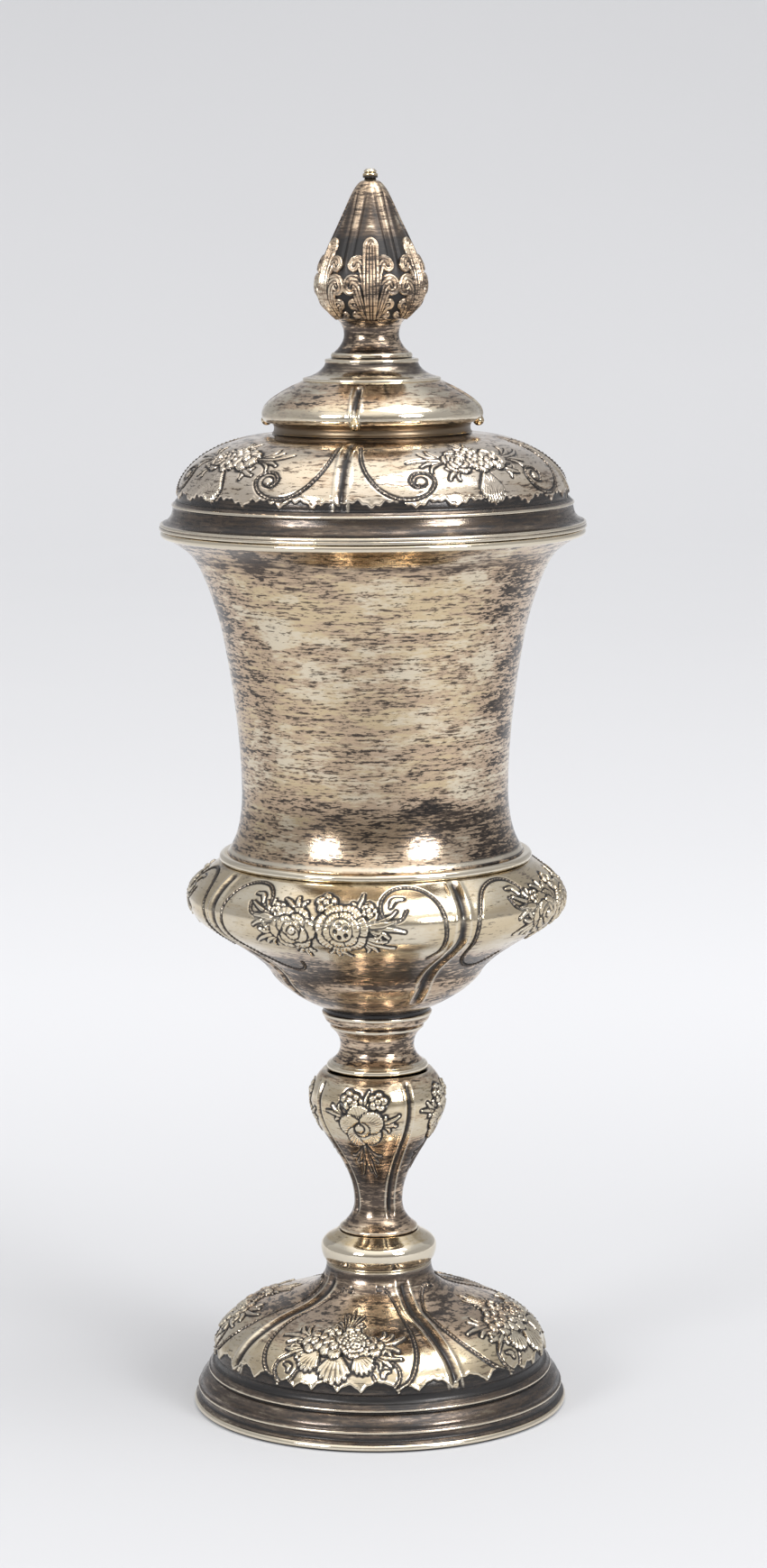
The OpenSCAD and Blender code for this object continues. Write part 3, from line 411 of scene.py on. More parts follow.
class Panel:
    """Relief of one panel: x runs round the piece from the panel's middle and y up its face, in mm."""

    pitch = 0.12

    def __init__(self, half_width, low, high):
        xs = np.arange(-half_width, half_width + self.pitch, self.pitch)
        ys = np.arange(low, high + self.pitch, self.pitch)
        self.x, self.y = np.meshgrid(xs, ys)
        self.height, self.ground, self.sunk = (np.zeros_like(self.x) for _ in range(3))
        self.half_width, self.cut = half_width, size("outline_cut")
        self.flower_rise, self.leaf_rise = size("flower_rise"), size("leaf_rise")

    def window(self, low, high):
        """The rows and columns between two corners."""
        corners = (np.array([low, high]) - (self.x[0, 0], self.y[0, 0])) / self.pitch
        (x0, y0), (x1, y1) = np.clip(corners.astype(int), 0, self.x.shape[::-1])
        return slice(y0, y1 + 1), slice(x0, x1 + 1)

    def polar(self, x, y, reach):
        """The window round a point, with distances and directions from it."""
        win = self.window((x - reach, y - reach), (x + reach, y + reach))
        dx, dy = self.x[win] - x, self.y[win] - y
        return win, np.hypot(dx, dy), np.arctan2(dy, dx)

    def near_line(self, points, reach, step=0.2):
        """The window round a smooth line, with distances to it and lengths along it."""
        line = smooth_line(points)
        line = at_lengths(line, np.arange(0, run_length(line)[-1], step))
        win = self.window(line.min(0) - reach, line.max(0) + reach)
        x, y = self.x[win], self.y[win]
        best, along = np.full(x.shape, 1e9), np.zeros(x.shape)
        for i, (px, py) in enumerate(line):
            gap = (x - px) ** 2 + (y - py) ** 2
            closer = gap < best
            best[closer] = gap[closer]
            along[closer] = step * i
        return win, np.sqrt(best), along

    def strip(self, points, w0, w1):
        """A line's window, distances to it, shares of its length and half widths that go from w0 to w1."""
        win, gap, along = self.near_line(points, w1 + 1)
        share = along / along.max()
        return win, gap, share, w0 + (w1 - w0) * share

    def lay(self, win, edge, top, cut=1.0, spread=0.4):
        """Lays a raised form over what is there. edge is the distance inside its outline."""
        inside = ease(edge / 0.3 + 0.5)
        outside = np.minimum(edge, 0)
        under = self.height[win] - cut * self.cut * np.exp(-(outside / spread) ** 2)
        self.height[win] = under * (1 - inside) + top * inside
        self.ground[win] = np.maximum(self.ground[win], np.exp(-(outside / (2.4 * spread)) ** 2))

    def sprays(self, *each):
        """Sprays in turn. Each is x, y, direction, length, spread, count and width of its lobes, and may end
        with its rise and curl."""
        for spray in each:
            self.spray(*spray)

    def spray(self, x, y, turn, length, spread, count, width, rise=1.0, curl=55):
        """A tuft of slender lobes that open from the point x, y and curl away from its middle."""
        for k in sorted(range(count), key=lambda k: -abs(2 * k - count + 1)):
            share = 2 * k / (count - 1) - 1
            reach = length * (1 - 0.35 * share ** 2) * (0.8 if k % 2 else 1)
            route = [(x, y)]
            for step, bend in ((0.5, 0), (0.3, 0.45), (0.2, 1)):
                angle = math.radians(turn + 0.5 * spread * share + bend * curl * (share or 0.4))
                route.append(off(*route[-1], step * reach, angle))
            self.lobe(route, 0.2 * width, (0.52 + 0.16 * (k % 2)) * width, rise)

    def disc(self, x, y, radius, rise, dish=0.0, cut=1.0, lines=0):
        """A round form, domed or dished, with fine lines from its middle to its rim."""
        win, rho, angle = self.polar(x, y, radius + 1.2)
        share = np.clip(rho / radius, 0, 1)
        dome = np.sqrt(1 - share ** 2)
        crease = 0.12 * rise * share * (1 - np.cos(lines * angle))
        self.lay(win, radius - rho, rise * (0.5 + 0.5 * dome) - dish * dome - crease, cut)

    def pit(self, x, y, radius, depth):
        """A punched dot."""
        win, rho, _ = self.polar(x, y, 2.5 * radius)
        self.height[win] -= depth * np.exp(-(rho / radius) ** 4)

    def daisy(self, x, y, radius, turn, rise=1.0, dots=5):
        """An open flower: two rings of broad petals with fine lines, and a heart of punched dots."""
        line_pitch = 1.15
        for share, count, lift in ((1.0, 7, 0.6), (0.68, 6, 0.85)):
            r = share * radius
            win, rho, angle = self.polar(x, y, r + 1.2)
            angle -= math.radians(turn)
            wave = np.abs(np.cos(0.5 * count * angle))
            edge = r * (0.9 + 0.1 * wave ** 0.55) - rho
            crease = np.exp(-(wave * rho * 2 / count / 0.2) ** 2)
            cup = np.sqrt(np.clip(edge / (0.3 * r), 0, 1))
            lines = 0.13 * np.cos(round(2 * math.pi * r / line_pitch) * angle) * ease(4 * rho / r - 2.4)
            top = self.flower_rise * lift * (0.6 + 0.4 * cup) - 0.28 * crease + lines
            self.lay(win, edge, rise * top, 0.9)
        self.disc(x, y, 0.40 * radius, self.flower_rise * rise * 1.1)
        for dot in ring(x, y, 0.22 * radius, dots, 0.6):
            self.pit(*dot, 0.09 * radius, 0.65 * rise)

    def blossom(self, x, y, radius, turn=0.0, rise=1.0, petals=5):
        """A small flower of round petals with a punched heart."""
        lift = self.flower_rise * rise
        for petal in ring(x, y, 0.56 * radius, petals, math.radians(turn)):
            self.disc(*petal, 0.42 * radius, lift, dish=0.2 * lift, lines=7)
        self.disc(x, y, 0.3 * radius, 1.1 * lift, cut=0.8)
        self.pit(x, y, 0.1 * radius, 0.4 * rise)

    def open_rose(self, x, y, radius, turn, rise):
        """A flat rose: five broad petals with fine lines at their rims, round a spiral heart."""
        lift, start = self.flower_rise * rise, math.radians(turn)
        for petal in ring(x, y, 0.52 * radius, 5, start):
            win, rho, _ = self.polar(*petal, 0.6 * radius)
            angle = np.arctan2(self.y[win] - y, self.x[win] - x)
            edge = 0.5 * radius - rho
            lines = np.cos(40 * angle) * ease(3 - 4 * edge / radius)
            self.lay(win, edge, lift * (0.5 + 0.25 * rho / radius) + 0.12 * lines, 0.8)
        for share, high in ((0.34, 0.8), (0.2, 1.1)):
            heart = off(x, y, 0.1 * radius, start + 9 * share)
            self.disc(*heart, share * radius, high * lift, dish=0.3 * lift, cut=0.8)

    def rose(self, x, y, radius, turn, rise=1.0):
        """A full rose: rings of overlapping round petals that close on a bud."""
        lift = self.flower_rise * rise
        for share, wide, count, high in ((0.60, 0.46, 6, 0.75), (0.36, 0.38, 4, 0.95), (0.15, 0.28, 3, 1.15)):
            start = math.radians(turn) + 2 * math.pi * share / count
            for petal in ring(x, y, share * radius, count, start):
                self.disc(*petal, wide * radius, high * lift, dish=0.42 * lift, lines=9)
        self.disc(x, y, 0.16 * radius, 1.15 * lift)

    def fan(self, x, y, turn, length, spread, ribs):
        """A ruffled leaf that opens like a shell from the point x, y."""
        win, rho, angle = self.polar(x, y, length + 1.5)
        angle = (angle - math.radians(turn) + np.pi) % (2 * np.pi) - np.pi
        half = math.radians(spread) / 2
        wave = np.abs(np.cos(0.5 * np.pi * ribs * angle / half))
        reach = length * (1 - 0.30 * (angle / half) ** 2) * (0.88 + 0.12 * wave)
        edge = np.minimum(reach - rho, (half - np.abs(angle)) * np.maximum(rho, 0.4))
        grow = rho / length
        self.lay(win, edge, self.leaf_rise * (0.5 + 0.5 * grow) + 0.26 * (wave - 0.5) * (0.3 + grow))

    def lobe(self, route, w0, w1, rise):
        """A slender lobe of a leaf that widens along its route and then narrows to its end."""
        win, gap, share, half = self.strip(route, w0, w1)
        half = half * (1 - 0.6 * ease((share - 0.55) / 0.45))
        edge = half - gap
        crown = np.sqrt(np.clip(edge / half, 0, 1))
        vein = 0.2 * rise * np.exp(-(gap / 0.24) ** 2) * ease(edge / 0.3)
        self.lay(win, edge, rise * self.leaf_rise * (0.35 + 0.25 * share + 0.4 * crown) - vein, 0.9, 0.32)

    def tongue(self, points, w0, w1, top):
        """A lobe of the finial's leaves: a band that widens along a curve, fluted inside a raised rim."""
        win, gap, _, half = self.strip(points, w0, w1)
        edge = half - gap
        flute_pitch = 0.85
        flutes = np.cos(2 * np.pi * gap / flute_pitch) * ease((edge - 0.3) / 0.3)
        rim = np.exp(-((edge - 0.25) / 0.22) ** 2)
        crown = np.sqrt(np.clip(edge / half, 0, 1))
        self.lay(win, edge, top + 0.25 * crown + 0.16 * rim + 0.20 * flutes, 0.9, 0.26)

    def rope(self, points, width=0.27):
        """A raised scroll line, beaded like a twisted rope."""
        win, gap, along = self.near_line(points, 2.0)
        beads = 0.66 + 0.34 * np.cos(2 * np.pi * along / size("bead_pitch"))
        round_top = np.sqrt(np.clip(1 - (gap / (1.25 * width)) ** 2, 0, 1))
        self.lay(win, width - gap, size("rope_rise") * round_top * beads, 1.2, 0.24)
        self.sunk[win] = np.maximum(self.sunk[win], 0.65 * ease((1.6 * width - gap) / width))

    def scalloped_foot(self, tips, low, high, drop, ragged):
        """Presses the panel's foot in below arches that hang between the given tips, with an uneven edge."""
        here = np.clip(np.searchsorted(tips, self.x), 1, len(tips) - 1)
        left, right = np.take(tips, here - 1), np.take(tips, here)
        arch = 1 - np.abs((2 * self.x - left - right) / (right - left)) ** 2.5
        edge_y = low + (high - low) * np.clip(arch, 0, 1) * np.minimum(1, (right - left) / 8)
        over = self.y - edge_y - ragged * (np.sin(1.9 * self.x) + np.sin(3.1 * self.x + 1))
        rim = np.exp(-((over - 0.45) / 0.4) ** 2)
        self.height = np.where(over > 0, self.height + 0.5 * drop * rim, 0)
        self.height -= drop * (1 - ease(over / 0.35 + 0.5))
        self.sunk = np.maximum(self.sunk, 1 - ease(over / 0.3 + 0.5))

    def finish(self):
        """Works out where tarnish gathers and where the relief is rubbed."""
        hollow = blurred(self.height, 0.7 / self.pitch) - self.height
        broad = blurred(self.height, 2.0 / self.pitch) - self.height
        recess = np.clip(hollow / 0.20, 0, 1) + 0.4 * np.clip(broad / 0.5, 0, 1)
        recess = np.clip(recess + 0.34 * self.ground * (self.height < 0.2), 0, 1.1)
        self.recess = np.maximum(recess, 0.72 * self.sunk)
        self.rub = np.clip(-hollow / 0.45, 0, 1) * (1 - 0.7 * self.sunk)
        return self

    def read(self, x, y):
        """Height, recess and rub at points of the panel."""
        u = np.clip((x - self.x[0, 0]) / self.pitch, 0, self.x.shape[1] - 1.001)
        v = np.clip((y - self.y[0, 0]) / self.pitch, 0, self.x.shape[0] - 1.001)
        i, j = v.astype(int), u.astype(int)
        fu, fv = u - j, v - i
        return [(field[i, j] * (1 - fu) + field[i, j + 1] * fu) * (1 - fv)
                + (field[i + 1, j] * (1 - fu) + field[i + 1, j + 1] * fu) * fv
                for field in (self.height, self.recess, self.rub)]


def belly_panel():
    """Roses, leaf sprays and beaded scrolls of one lobe of the bowl."""
    scale = per_degree(BELLY_PANEL_R)
    panel = Panel(HALF_LOBE * scale, -1, 60)
    left = [(-15, 27.5), (-16.5, 24.5), (-20, 22.3), (-26, 22), (-33, 24.5), (-37.5, 29), (-39.5, 36),
            (-40, 43), (-38.5, 49.5), (-35, 54), (-29, 56.2), (-23, 55.6), (-19.6, 52.6), (-19.4, 48.8),
            (-22, 46.6), (-25.6, 47.2), (-27, 49.8)]
    right = [(36, 30), (38.8, 34), (39.4, 40), (38.6, 46.5), (36.5, 51.5), (33, 54.8), (27.5, 56.5),
             (22, 55.7), (18.6, 52.6), (18.2, 48.8), (20.6, 46.4), (24.4, 46.6), (26.4, 49)]
    for scroll in (left, right):
        panel.rope(stretched(scroll, scale))
    panel.lobe(stretched([(-26.2, 52.6), (-23.4, 52.4), (-22, 50.2)], scale), 0.3, 0.9, rise=0.8)
    panel.lobe(stretched([(25.4, 52.6), (22.4, 52.2), (21.2, 50)], scale), 0.3, 1.0, rise=0.8)
    panel.sprays(
        (-10, 45.5, 166, 12, 40, 6, 1.4), (-11, 42.8, 196, 10, 40, 5, 1.3),
        (9, 45.0, 0, 12.5, 36, 6, 1.4), (9, 42.3, -30, 10.5, 40, 5, 1.3),
        (-6, 47, 122, 7.5, 60, 4, 1.5), (8, 48, 56, 7, 50, 4, 1.4),
        (-5, 39.5, -112, 7, 60, 4, 1.5), (3, 39.5, -72, 7, 60, 4, 1.5))
    panel.blossom(0.4, 51.2, 3.0, turn=20)
    panel.blossom(-12.6, 48.6, 2.2, turn=50, rise=0.8)
    panel.blossom(11.8, 49.2, 2.2, rise=0.8)
    panel.rose(-8.2, 43.6, 6.0, turn=25, rise=1.05)
    panel.daisy(5.0, 44.0, 6.9, turn=10, rise=1.1)
    return panel.finish()


def foot_panel():
    """Bouquet, scrolls and hanging leaf tips of one lobe of the foot."""
    scale = per_degree(FOOT_PANEL_R)
    panel = Panel(HALF_LOBE * scale, -3, 42)
    left = [(-19, 0.8), (-28, 3.6), (-33.5, 8.5), (-37, 15), (-38.3, 22), (-36.5, 29), (-31, 33.6),
            (-22, 36.2), (-10, 35.8)]
    right = [(22, 0.8), (28, 3.5), (31.5, 8), (33.7, 13), (34.6, 20), (34, 28), (31.5, 33),
             (26, 36.2), (15, 37)]
    for scroll in (left, right):
        panel.rope(stretched(scroll, scale), width=0.36)
    loop = [(9.6, 8.6), (12.8, 9.4), (15.8, 7.4), (16.2, 4.2), (13.6, 1.2), (11.0, 2.4), (9.6, 5.2)]
    for side in (-1, 1):
        panel.rope(stretched(loop, side))
        panel.lobe(stretched([(13.8, 6.2), (12.4, 5.8), (12.2, 4.4)], side), 0.3, 0.9, rise=0.6)
    panel.sprays(
        (0.5, 18.5, 90, 10.5, 100, 9, 1.1, 0.8, 30),
        (-9, 14.6, 172, 11.5, 46, 5, 1.6), (-9, 12, 204, 9, 36, 4, 1.4),
        (9, 14.2, 6, 11.5, 46, 5, 1.6), (9, 11.6, -26, 9, 36, 4, 1.4))
    for x, turn, reach in ((-5.6, -116, 7.2), (5.2, -64, 7.2), (-0.2, -90, 9.6)):
        panel.fan(x, 11.8, turn, reach, spread=76, ribs=7)
    for blossom in ((-4.4, 17.6, 3.5, 20), (2.6, 18.2, 3.5, 60), (9.4, 13.6, 3.7, 10), (-8.4, 14.2, 4.1, 45),
                    (-1.8, 13.2, 4.3, 0)):
        panel.blossom(*blossom)
    panel.daisy(4.6, 14.2, 4.4, turn=10, dots=4)
    tips = (-36, -30.5, -22, -14.5, -9.8, -5.2, 1.2, 6.8, 15.6, 20.4, 28.8, 36)
    panel.scalloped_foot(tips, low=0.3, high=3.2, drop=0.45, ragged=0.12)
    return panel.finish()


def lid_panel():
    """Bouquet, beaded scrolls and hanging leaf of one lobe of the lid."""
    scale = per_degree(LID_PANEL_R)
    panel = Panel(HALF_LOBE * scale, -1, 33)
    scroll = [(40.5, 22.5), (39.6, 15), (37.6, 10), (33.5, 5.4), (28.3, 3.1), (23, 3.2), (18.8, 5.2),
              (17.4, 7.9), (19.4, 10.2), (23, 10.1), (24.8, 8), (23.2, 6.2), (21, 6.9)]
    for side in (-1, 1):
        panel.rope(stretched(scroll, side * scale))
        panel.disc(side * scale * 21.6, 7.6, radius=1.2, rise=0.35)
    panel.sprays(
        (-8, 14.2, 174, 12, 40, 5, 1.2, 0.6), (9, 14.6, 6, 12, 40, 5, 1.2, 0.6),
        (0, 17, 90, 6.5, 110, 7, 1.1, 0.6),
        (-6, 11.5, 214, 6.5, 36, 3, 1.2, 0.6), (7, 11.5, -34, 6.5, 36, 3, 1.2, 0.6))
    panel.fan(0.6, 11.4, -91, 10.2, spread=56, ribs=11)
    panel.blossom(0.2, 17.0, 2.9, turn=20)
    panel.blossom(0.6, 12.4, 2.9, turn=50)
    panel.rose(-5.6, 14.2, 4.2, turn=10)
    panel.blossom(6.2, 14.6, 4.2, turn=35, rise=1.1, petals=6)
    tips = (-37, -29, -19, -9.5, 1, 11.4, 21.6, 30, 37)
    panel.scalloped_foot(tips, low=0.7, high=2.6, drop=0.3, ragged=0.24)
    return panel.finish()


def stem_panel():
    """The rose, sprigs and leaf drop of one lobe of the baluster."""
    panel = Panel(HALF_LOBE * per_degree(STEM_BELLY_R), -1, 48)
    panel.sprays(
        (0.4, 29, -90, 12, 70, 7, 1.5, 0.45), (-4, 37, 154, 6.5, 44, 4, 1.3, 0.8),
        (5, 35.5, 8, 6.5, 50, 4, 1.3, 0.8), (1, 39, 90, 6, 130, 6, 1.2, 0.8))
    panel.blossom(-2.6, 42.0, 2.7, turn=30, rise=0.8)
    panel.blossom(5.0, 41.8, 2.6, turn=80, rise=0.8)
    panel.open_rose(0.4, 34.6, 6.2, turn=100, rise=0.75)
    return panel.finish()


def leaf_panel():
    """One leaf of the finial: four pairs of curled lobes and a tip on a fluted stem, over a sunk ground."""
    panel = Panel(LEAF_STEP / 2 * per_degree(BUD_R), -0.2, 25)
    panel.height -= LEAF_SUNK
    for route, w0, w1, top in (
            (((0.8, 0.6), (3.0, 0.9), (5.4, 1.5)), 1.0, 1.2, 0.2),
            (((1.4, 1.0), (3.0, 3.2), (4.2, 4.7), (5.0, 5.0)), 1.4, 1.7, 0.35),
            (((1.6, 2.0), (2.2, 6.0), (3.4, 9.8), (4.7, 10.6), (5.3, 9.6)), 1.7, 2.3, 0.5),
            (((1.1, 8.0), (1.7, 13.0), (2.9, 15.8), (4.1, 15.8), (4.6, 14.8)), 1.0, 1.8, 0.6)):
        for side in (-1, 1):
            curl = stretched(route, side)
            panel.tongue(curl, w0, w1, top)
            panel.pit(*curl[-1], 0.28 * w1, depth=0.25)
    panel.tongue([(0, 0.3), (0, 8), (0, 15), (0, 20.0)], 1.5, 2.5, top=0.7)
    return panel.finish()


class Relief:
    """The outer face of a chased shell: rows by run length from its foot, with the lift along the normal and
    the marks of tarnish, painted shade and wear of every point."""

    def __init__(self, line, columns, zones, foot=0, to_tip=True):
        s = run_length(line)
        start, end = s[foot], s[-1] - s[foot]
        at = []
        for low, high, step in zones:
            low, high = max(low, -start), min(high, end)
            at.append(np.linspace(low, high, max(2, round((high - low) / step)), endpoint=False))
        at = np.r_[np.concatenate(at), end]
        outline = at_lengths(line, at + start)
        rows = len(at) if to_tip else len(at) - 1
        self.s = at[:rows, None]
        self.line, self.normal = outline[:rows], outward(outline)[:rows]
        self.r = self.line[:, :1]
        self.columns, self.azimuth = columns, azimuths(columns)
        self.lift, self.recess, self.rub, self.patina = np.zeros((4, rows, columns))

    def lobes(self, turn, panel, from_s, to_s, crown, groove=1.0, wide=1.0, swing=((0, 0),)):
        """Four swelling lobes between grooves, each with the same chased panel."""
        depth, width = groove * size("groove_depth"), wide * size("groove_width")
        sway = np.interp(self.s, *zip(*swing))
        fade = ease((self.s - from_s) / 3) * ease((to_s - self.s) / 3)
        for q in range(LOBES):
            left = turn + LOBE_STEP * q + (-1) ** q * sway
            span = LOBE_STEP - 2 * (-1) ** q * sway
            along = (self.azimuth - left) % 360
            here = along < span
            t = 2 * along / span - 1
            gap = (1 - np.abs(t)) * span / 2 * np.pi / 180 * self.r
            lift = crown * size("crown") * (0.2 - np.abs(t) ** 3)
            lift = lift - depth * np.exp(-(gap / width) ** 2)
            lift = fade * (lift + 0.25 * np.exp(-((gap - 2.1 * width) / (0.8 * width)) ** 2))
            recess = 0.85 * fade * np.exp(-(gap / (1.1 * width)) ** 2)
            rub = 0.6 * fade * np.exp(-((gap - 2.3 * width) / (0.7 * width)) ** 2)
            if panel:
                high, dark, bright = panel.read(panel.half_width * t, np.broadcast_to(self.s, t.shape))
                lift = lift + high
                recess = np.maximum(recess, dark)
                rub = np.maximum(rub, bright)
            self.lift = np.where(here, lift, self.lift)
            self.recess = np.where(here, recess, self.recess)
            self.rub = np.where(here, rub, self.rub)

    def darken(self, amount):
        self.recess = np.maximum(self.recess, amount)

    def tarnish(self, *levels):
        """Gives the face thicker tarnish by height, as pairs of run length and amount."""
        self.patina = self.patina + np.interp(self.s, *zip(*levels))

    def level_ends(self, low=0.4, high=0.4):
        """Brings the face back to its outline at both ends, where it meets its neighbours."""
        s = self.s - self.s[0]
        self.lift = self.lift * ease(s / low) * ease((s[-1] - s) / high)


# Meshes

def mesh_of(name, points, quads, tris=np.empty((0, 3), int), marks=None, material_rows=None):
    """A smooth-shaded mesh from arrays, with its marks as point attributes."""
    mesh = bpy.data.meshes.new(name)
    mesh.vertices.add(len(points))
    mesh.vertices.foreach_set("co", np.ascontiguousarray(points, np.float32).ravel())
    corners = np.concatenate([quads.ravel(), tris.ravel()]).astype(np.int32)
    mesh.loops.add(len(corners))
    mesh.loops.foreach_set("vertex_index", corners)
    sides = np.r_[np.full(len(quads), 4), np.full(len(tris), 3)]
    mesh.polygons.add(len(sides))
    mesh.polygons.foreach_set("loop_start", np.r_[0, np.cumsum(sides)[:-1]].astype(np.int32))
    mesh.polygons.foreach_set("use_smooth", np.ones(len(sides), bool))
    if material_rows is not None:
        mesh.polygons.foreach_set("material_index", material_rows.astype(np.int32))
    mesh.update(calc_edges=True)
    for mark, values in (marks or {}).items():
        layer = mesh.attributes.new(mark, "FLOAT", "POINT")
        layer.data.foreach_set("value", values.astype(np.float32).ravel())
    if mesh.validate():
        raise RuntimeError(f"{name}: the mesh had faults")
    return mesh


def turned(name, outline, columns, marks, closed, lift=0.0, inner_from=math.inf):
    """A mesh turned round the axis from rows of (radius, height) in mm, with each point moved by its lift.
    Rows from inner_from on have the second material."""
    rows = len(outline)
    angle = 2 * np.pi * np.arange(columns) / columns
    moved = outline[:, None, :] + np.zeros((1, columns, 1)) + lift
    r, z = moved[..., 0], moved[..., 1]
    points = np.stack([r * np.sin(angle), -r * np.cos(angle), z], -1) * MM
    keep = np.ones((rows, columns), bool)
    keep[outline[:, 0] < ON_AXIS, 1:] = False
    index = np.cumsum(keep.ravel()).reshape(rows, columns) - 1
    circles = np.vstack([index, index[:1]]) if closed else index
    low, high = circles[:-1], circles[1:]
    quads = np.stack([low, np.roll(low, -1, 1), np.roll(high, -1, 1), high], -1).reshape(-1, 4)
    row_of = np.repeat(np.arange(len(low)), columns)
    at_foot, at_top = quads[:, 0] == quads[:, 1], quads[:, 2] == quads[:, 3]
    whole = ~(at_foot | at_top)
    tris = np.vstack([quads[at_foot][:, [0, 2, 3]], quads[at_top][:, [0, 1, 2]]])
    inner = np.r_[row_of[whole], row_of[at_foot], row_of[at_top]] >= inner_from
    flat = {mark: values[keep] for mark, values in marks.items()}
    return mesh_of(name, points[keep], quads[whole], tris, flat, inner)


def show(mesh, node, body, slot, *finishes):
    """Puts a mesh in the scene as the piece that stands for a CAD node."""
    for finish in finishes:
        mesh.materials.append(finish_of(finish))
    piece = bpy.data.objects.new(mesh.name, mesh)
    bpy.context.scene.collection.objects.link(piece)
    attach(piece, body)
    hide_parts(node)


PLAIN = ("foot_rim_wire", "foot_plinth", "stem_knop", "stem_top_ring", "stem_neck", "bowl_seat", "waist_wire",
         "bowl_beaker", "lip_wire", "lid_flange", "lid_neck", "finial_base", "finial_neck", "finial_bolt")
CHASED = (dome_line, baluster_line, belly_line, lid_line, cap_line, bud_line)
WEAR_AND_SHADE = WearAndShade([section(node) for node in PLAIN] + [line() for line in CHASED])


def wear_and_shade_marks(outline, columns, most=1.0, keen=0.07):
    """Tarnish and painted shade in the hollows, a painted shadow where the piece meets the floor, and wear of
    each row, the same all the way round. Rows prouder than keen are rubbed bright.
    """
    proud = WEAR_AND_SHADE.at(outline)[:, None] * np.ones((1, columns))
    # Painted shadow: the lowest mm of each piece is dark, as the floor's contact shadow and its dark
    # reflection in the piece's underside.
    contact_shadow = ease((0.9 - outline[:, 1]) / 0.5)[:, None]
    recess = np.maximum(np.clip(-proud / 0.30, 0, 1), contact_shadow)
    return recess, most * np.clip((proud - keen) / 0.15, 0, 1) * (1 - contact_shadow)


def turned_piece(node, body, slot, finish, spacing=0.4, columns=320, patina=0.0, grime_and_shade=0.0, keen=0.07,
                 hollow=1.0, clear=0.0):
    """A plain turned piece: the node's own outline with smooth runs and softened corners, and with its top
    kept clear of a piece that turns on it."""
    loop = drawn_upward(section(node))
    closed = loop[:, 0].min() > ON_AXIS
    outline = refined(loop, spacing, closed)
    outline[:, 1] = np.minimum(outline[:, 1], loop[:, 1].max() - clear)
    recess, rub = wear_and_shade_marks(outline, columns, keen=keen)
    if callable(patina):
        patina = patina(azimuths(columns), outline[:, 1:])
    # The second darkening is even over the whole piece: tarnish, and on the lid's gilt neck painted shade
    # under the cap.
    marks = {"recess": np.maximum(hollow * recess, grime_and_shade * (1 - 0.7 * rub)), "rub": rub,
             "patina": patina + np.zeros(rub.shape)}
    show(turned(node, outline, columns, marks, closed), node, body, slot, finish)


def chased_piece(node, body, slot, relief, inner, *finishes, closed=True, lead=np.empty((0, 2))):
    """A chased shell: rows that lead to its relief face, that face, and the plain rows of its inner side."""
    def filled(values):
        return np.pad(values, [(len(lead), len(inner))] + [(0, 0)] * (values.ndim - 1))

    recess, rub = wear_and_shade_marks(relief.line, relief.columns, most=0.6)
    marks = {"recess": filled(np.maximum(recess, relief.recess)), "rub": filled(np.maximum(rub, relief.rub)),
             "patina": filled(relief.patina)}
    lift = filled(relief.lift[..., None] * relief.normal[:, None, :])
    outline = np.vstack([lead, relief.line, inner])
    inner_from = len(outline) - len(inner) if len(finishes) > 1 else math.inf
    show(turned(node, outline, relief.columns, marks, closed, lift, inner_from), node, body, slot, *finishes)


# Shader maths

class Wire:
    """A socket of a finish, so that shader maths reads as arithmetic."""

    def __init__(self, finish, socket):
        self.finish, self.socket = finish, socket

    def maths(self, operation, a, b):
        return self.finish.node("ShaderNodeMath", {"operation": operation}, {0: a, 1: b})

    def __add__(self, other):
        return self.maths("ADD", self, other)

    __radd__ = __add__

    def __sub__(self, other):
        return self.maths("SUBTRACT", self, other)

    def __rsub__(self, other):
        return self.maths("SUBTRACT", other, self)

    def __mul__(self, other):
        return self.maths("MULTIPLY", self, other)

    __rmul__ = __mul__

    def between(self, low, high, to_low=0.0, to_high=1.0):
        """Eases from to_low to to_high as the value goes from low to high."""
        return self.finish.node(
            "ShaderNodeMapRange", {"interpolation_type": "SMOOTHSTEP"},
            {"Value": self, "From Min": low, "From Max": high, "To Min": to_low, "To Max": to_high})


class Finish:
    """A material built from expressions on Wires."""

    def __init__(self, name, data=None):
        self.data = data or bpy.data.materials.new(name)
        self.data.use_nodes = True
        self.tree = self.data.node_tree
        self.tree.nodes.clear()

    def node(self, kind, settings=None, sockets=None, out=0):
        """Adds a node: its settings first, then the values or links of its sockets."""
        made = self.tree.nodes.new(kind)
        for name, value in (settings or {}).items():
            setattr(made, name, value)
        for name, value in (sockets or {}).items():
            if isinstance(value, Wire):
                self.tree.links.new(value.socket, made.inputs[name])
            else:
                made.inputs[name].default_value = value
        return Wire(self, made.outputs[out]) if made.outputs else None

    def mark(self, name):
        return self.node("ShaderNodeAttribute", {"attribute_name": name}, out="Fac")

    def place(self):
        return self.node("ShaderNodeTexCoord", out="Object")

    def axes(self, place):
        """The x, y and z of a place."""
        return [self.node("ShaderNodeSeparateXYZ", None, {0: place}, out=axis) for axis in "XYZ"]

    def noise(self, place, stretch, detail=3.0, roughness=0.55):
        """Noise whose grains are 1/stretch metres long on each axis."""
        scaled = self.node("ShaderNodeVectorMath", {"operation": "MULTIPLY"}, {0: place, 1: stretch})
        return self.node("ShaderNodeTexNoise", None,
                         {"Vector": scaled, "Scale": 1.0, "Detail": detail, "Roughness": roughness})

    def mix(self, a, b, share):
        a, b = (value if isinstance(value, Wire) else (*value, 1.0) for value in (a, b))
        return self.node("ShaderNodeMix", {"data_type": "RGBA"}, {"Factor": share, 6: a, 7: b}, out=2)

    def bump(self, height, strength, depth):
        return self.node("ShaderNodeBump", None, {"Height": height, "Strength": strength, "Distance": depth})

    def surface(self, **sockets):
        named = {name.replace("_", " "): value for name, value in sockets.items()}
        shader = self.node("ShaderNodeBsdfPrincipled", None, named)
        self.node("ShaderNodeOutputMaterial", None, {"Surface": shader})
        return self.data


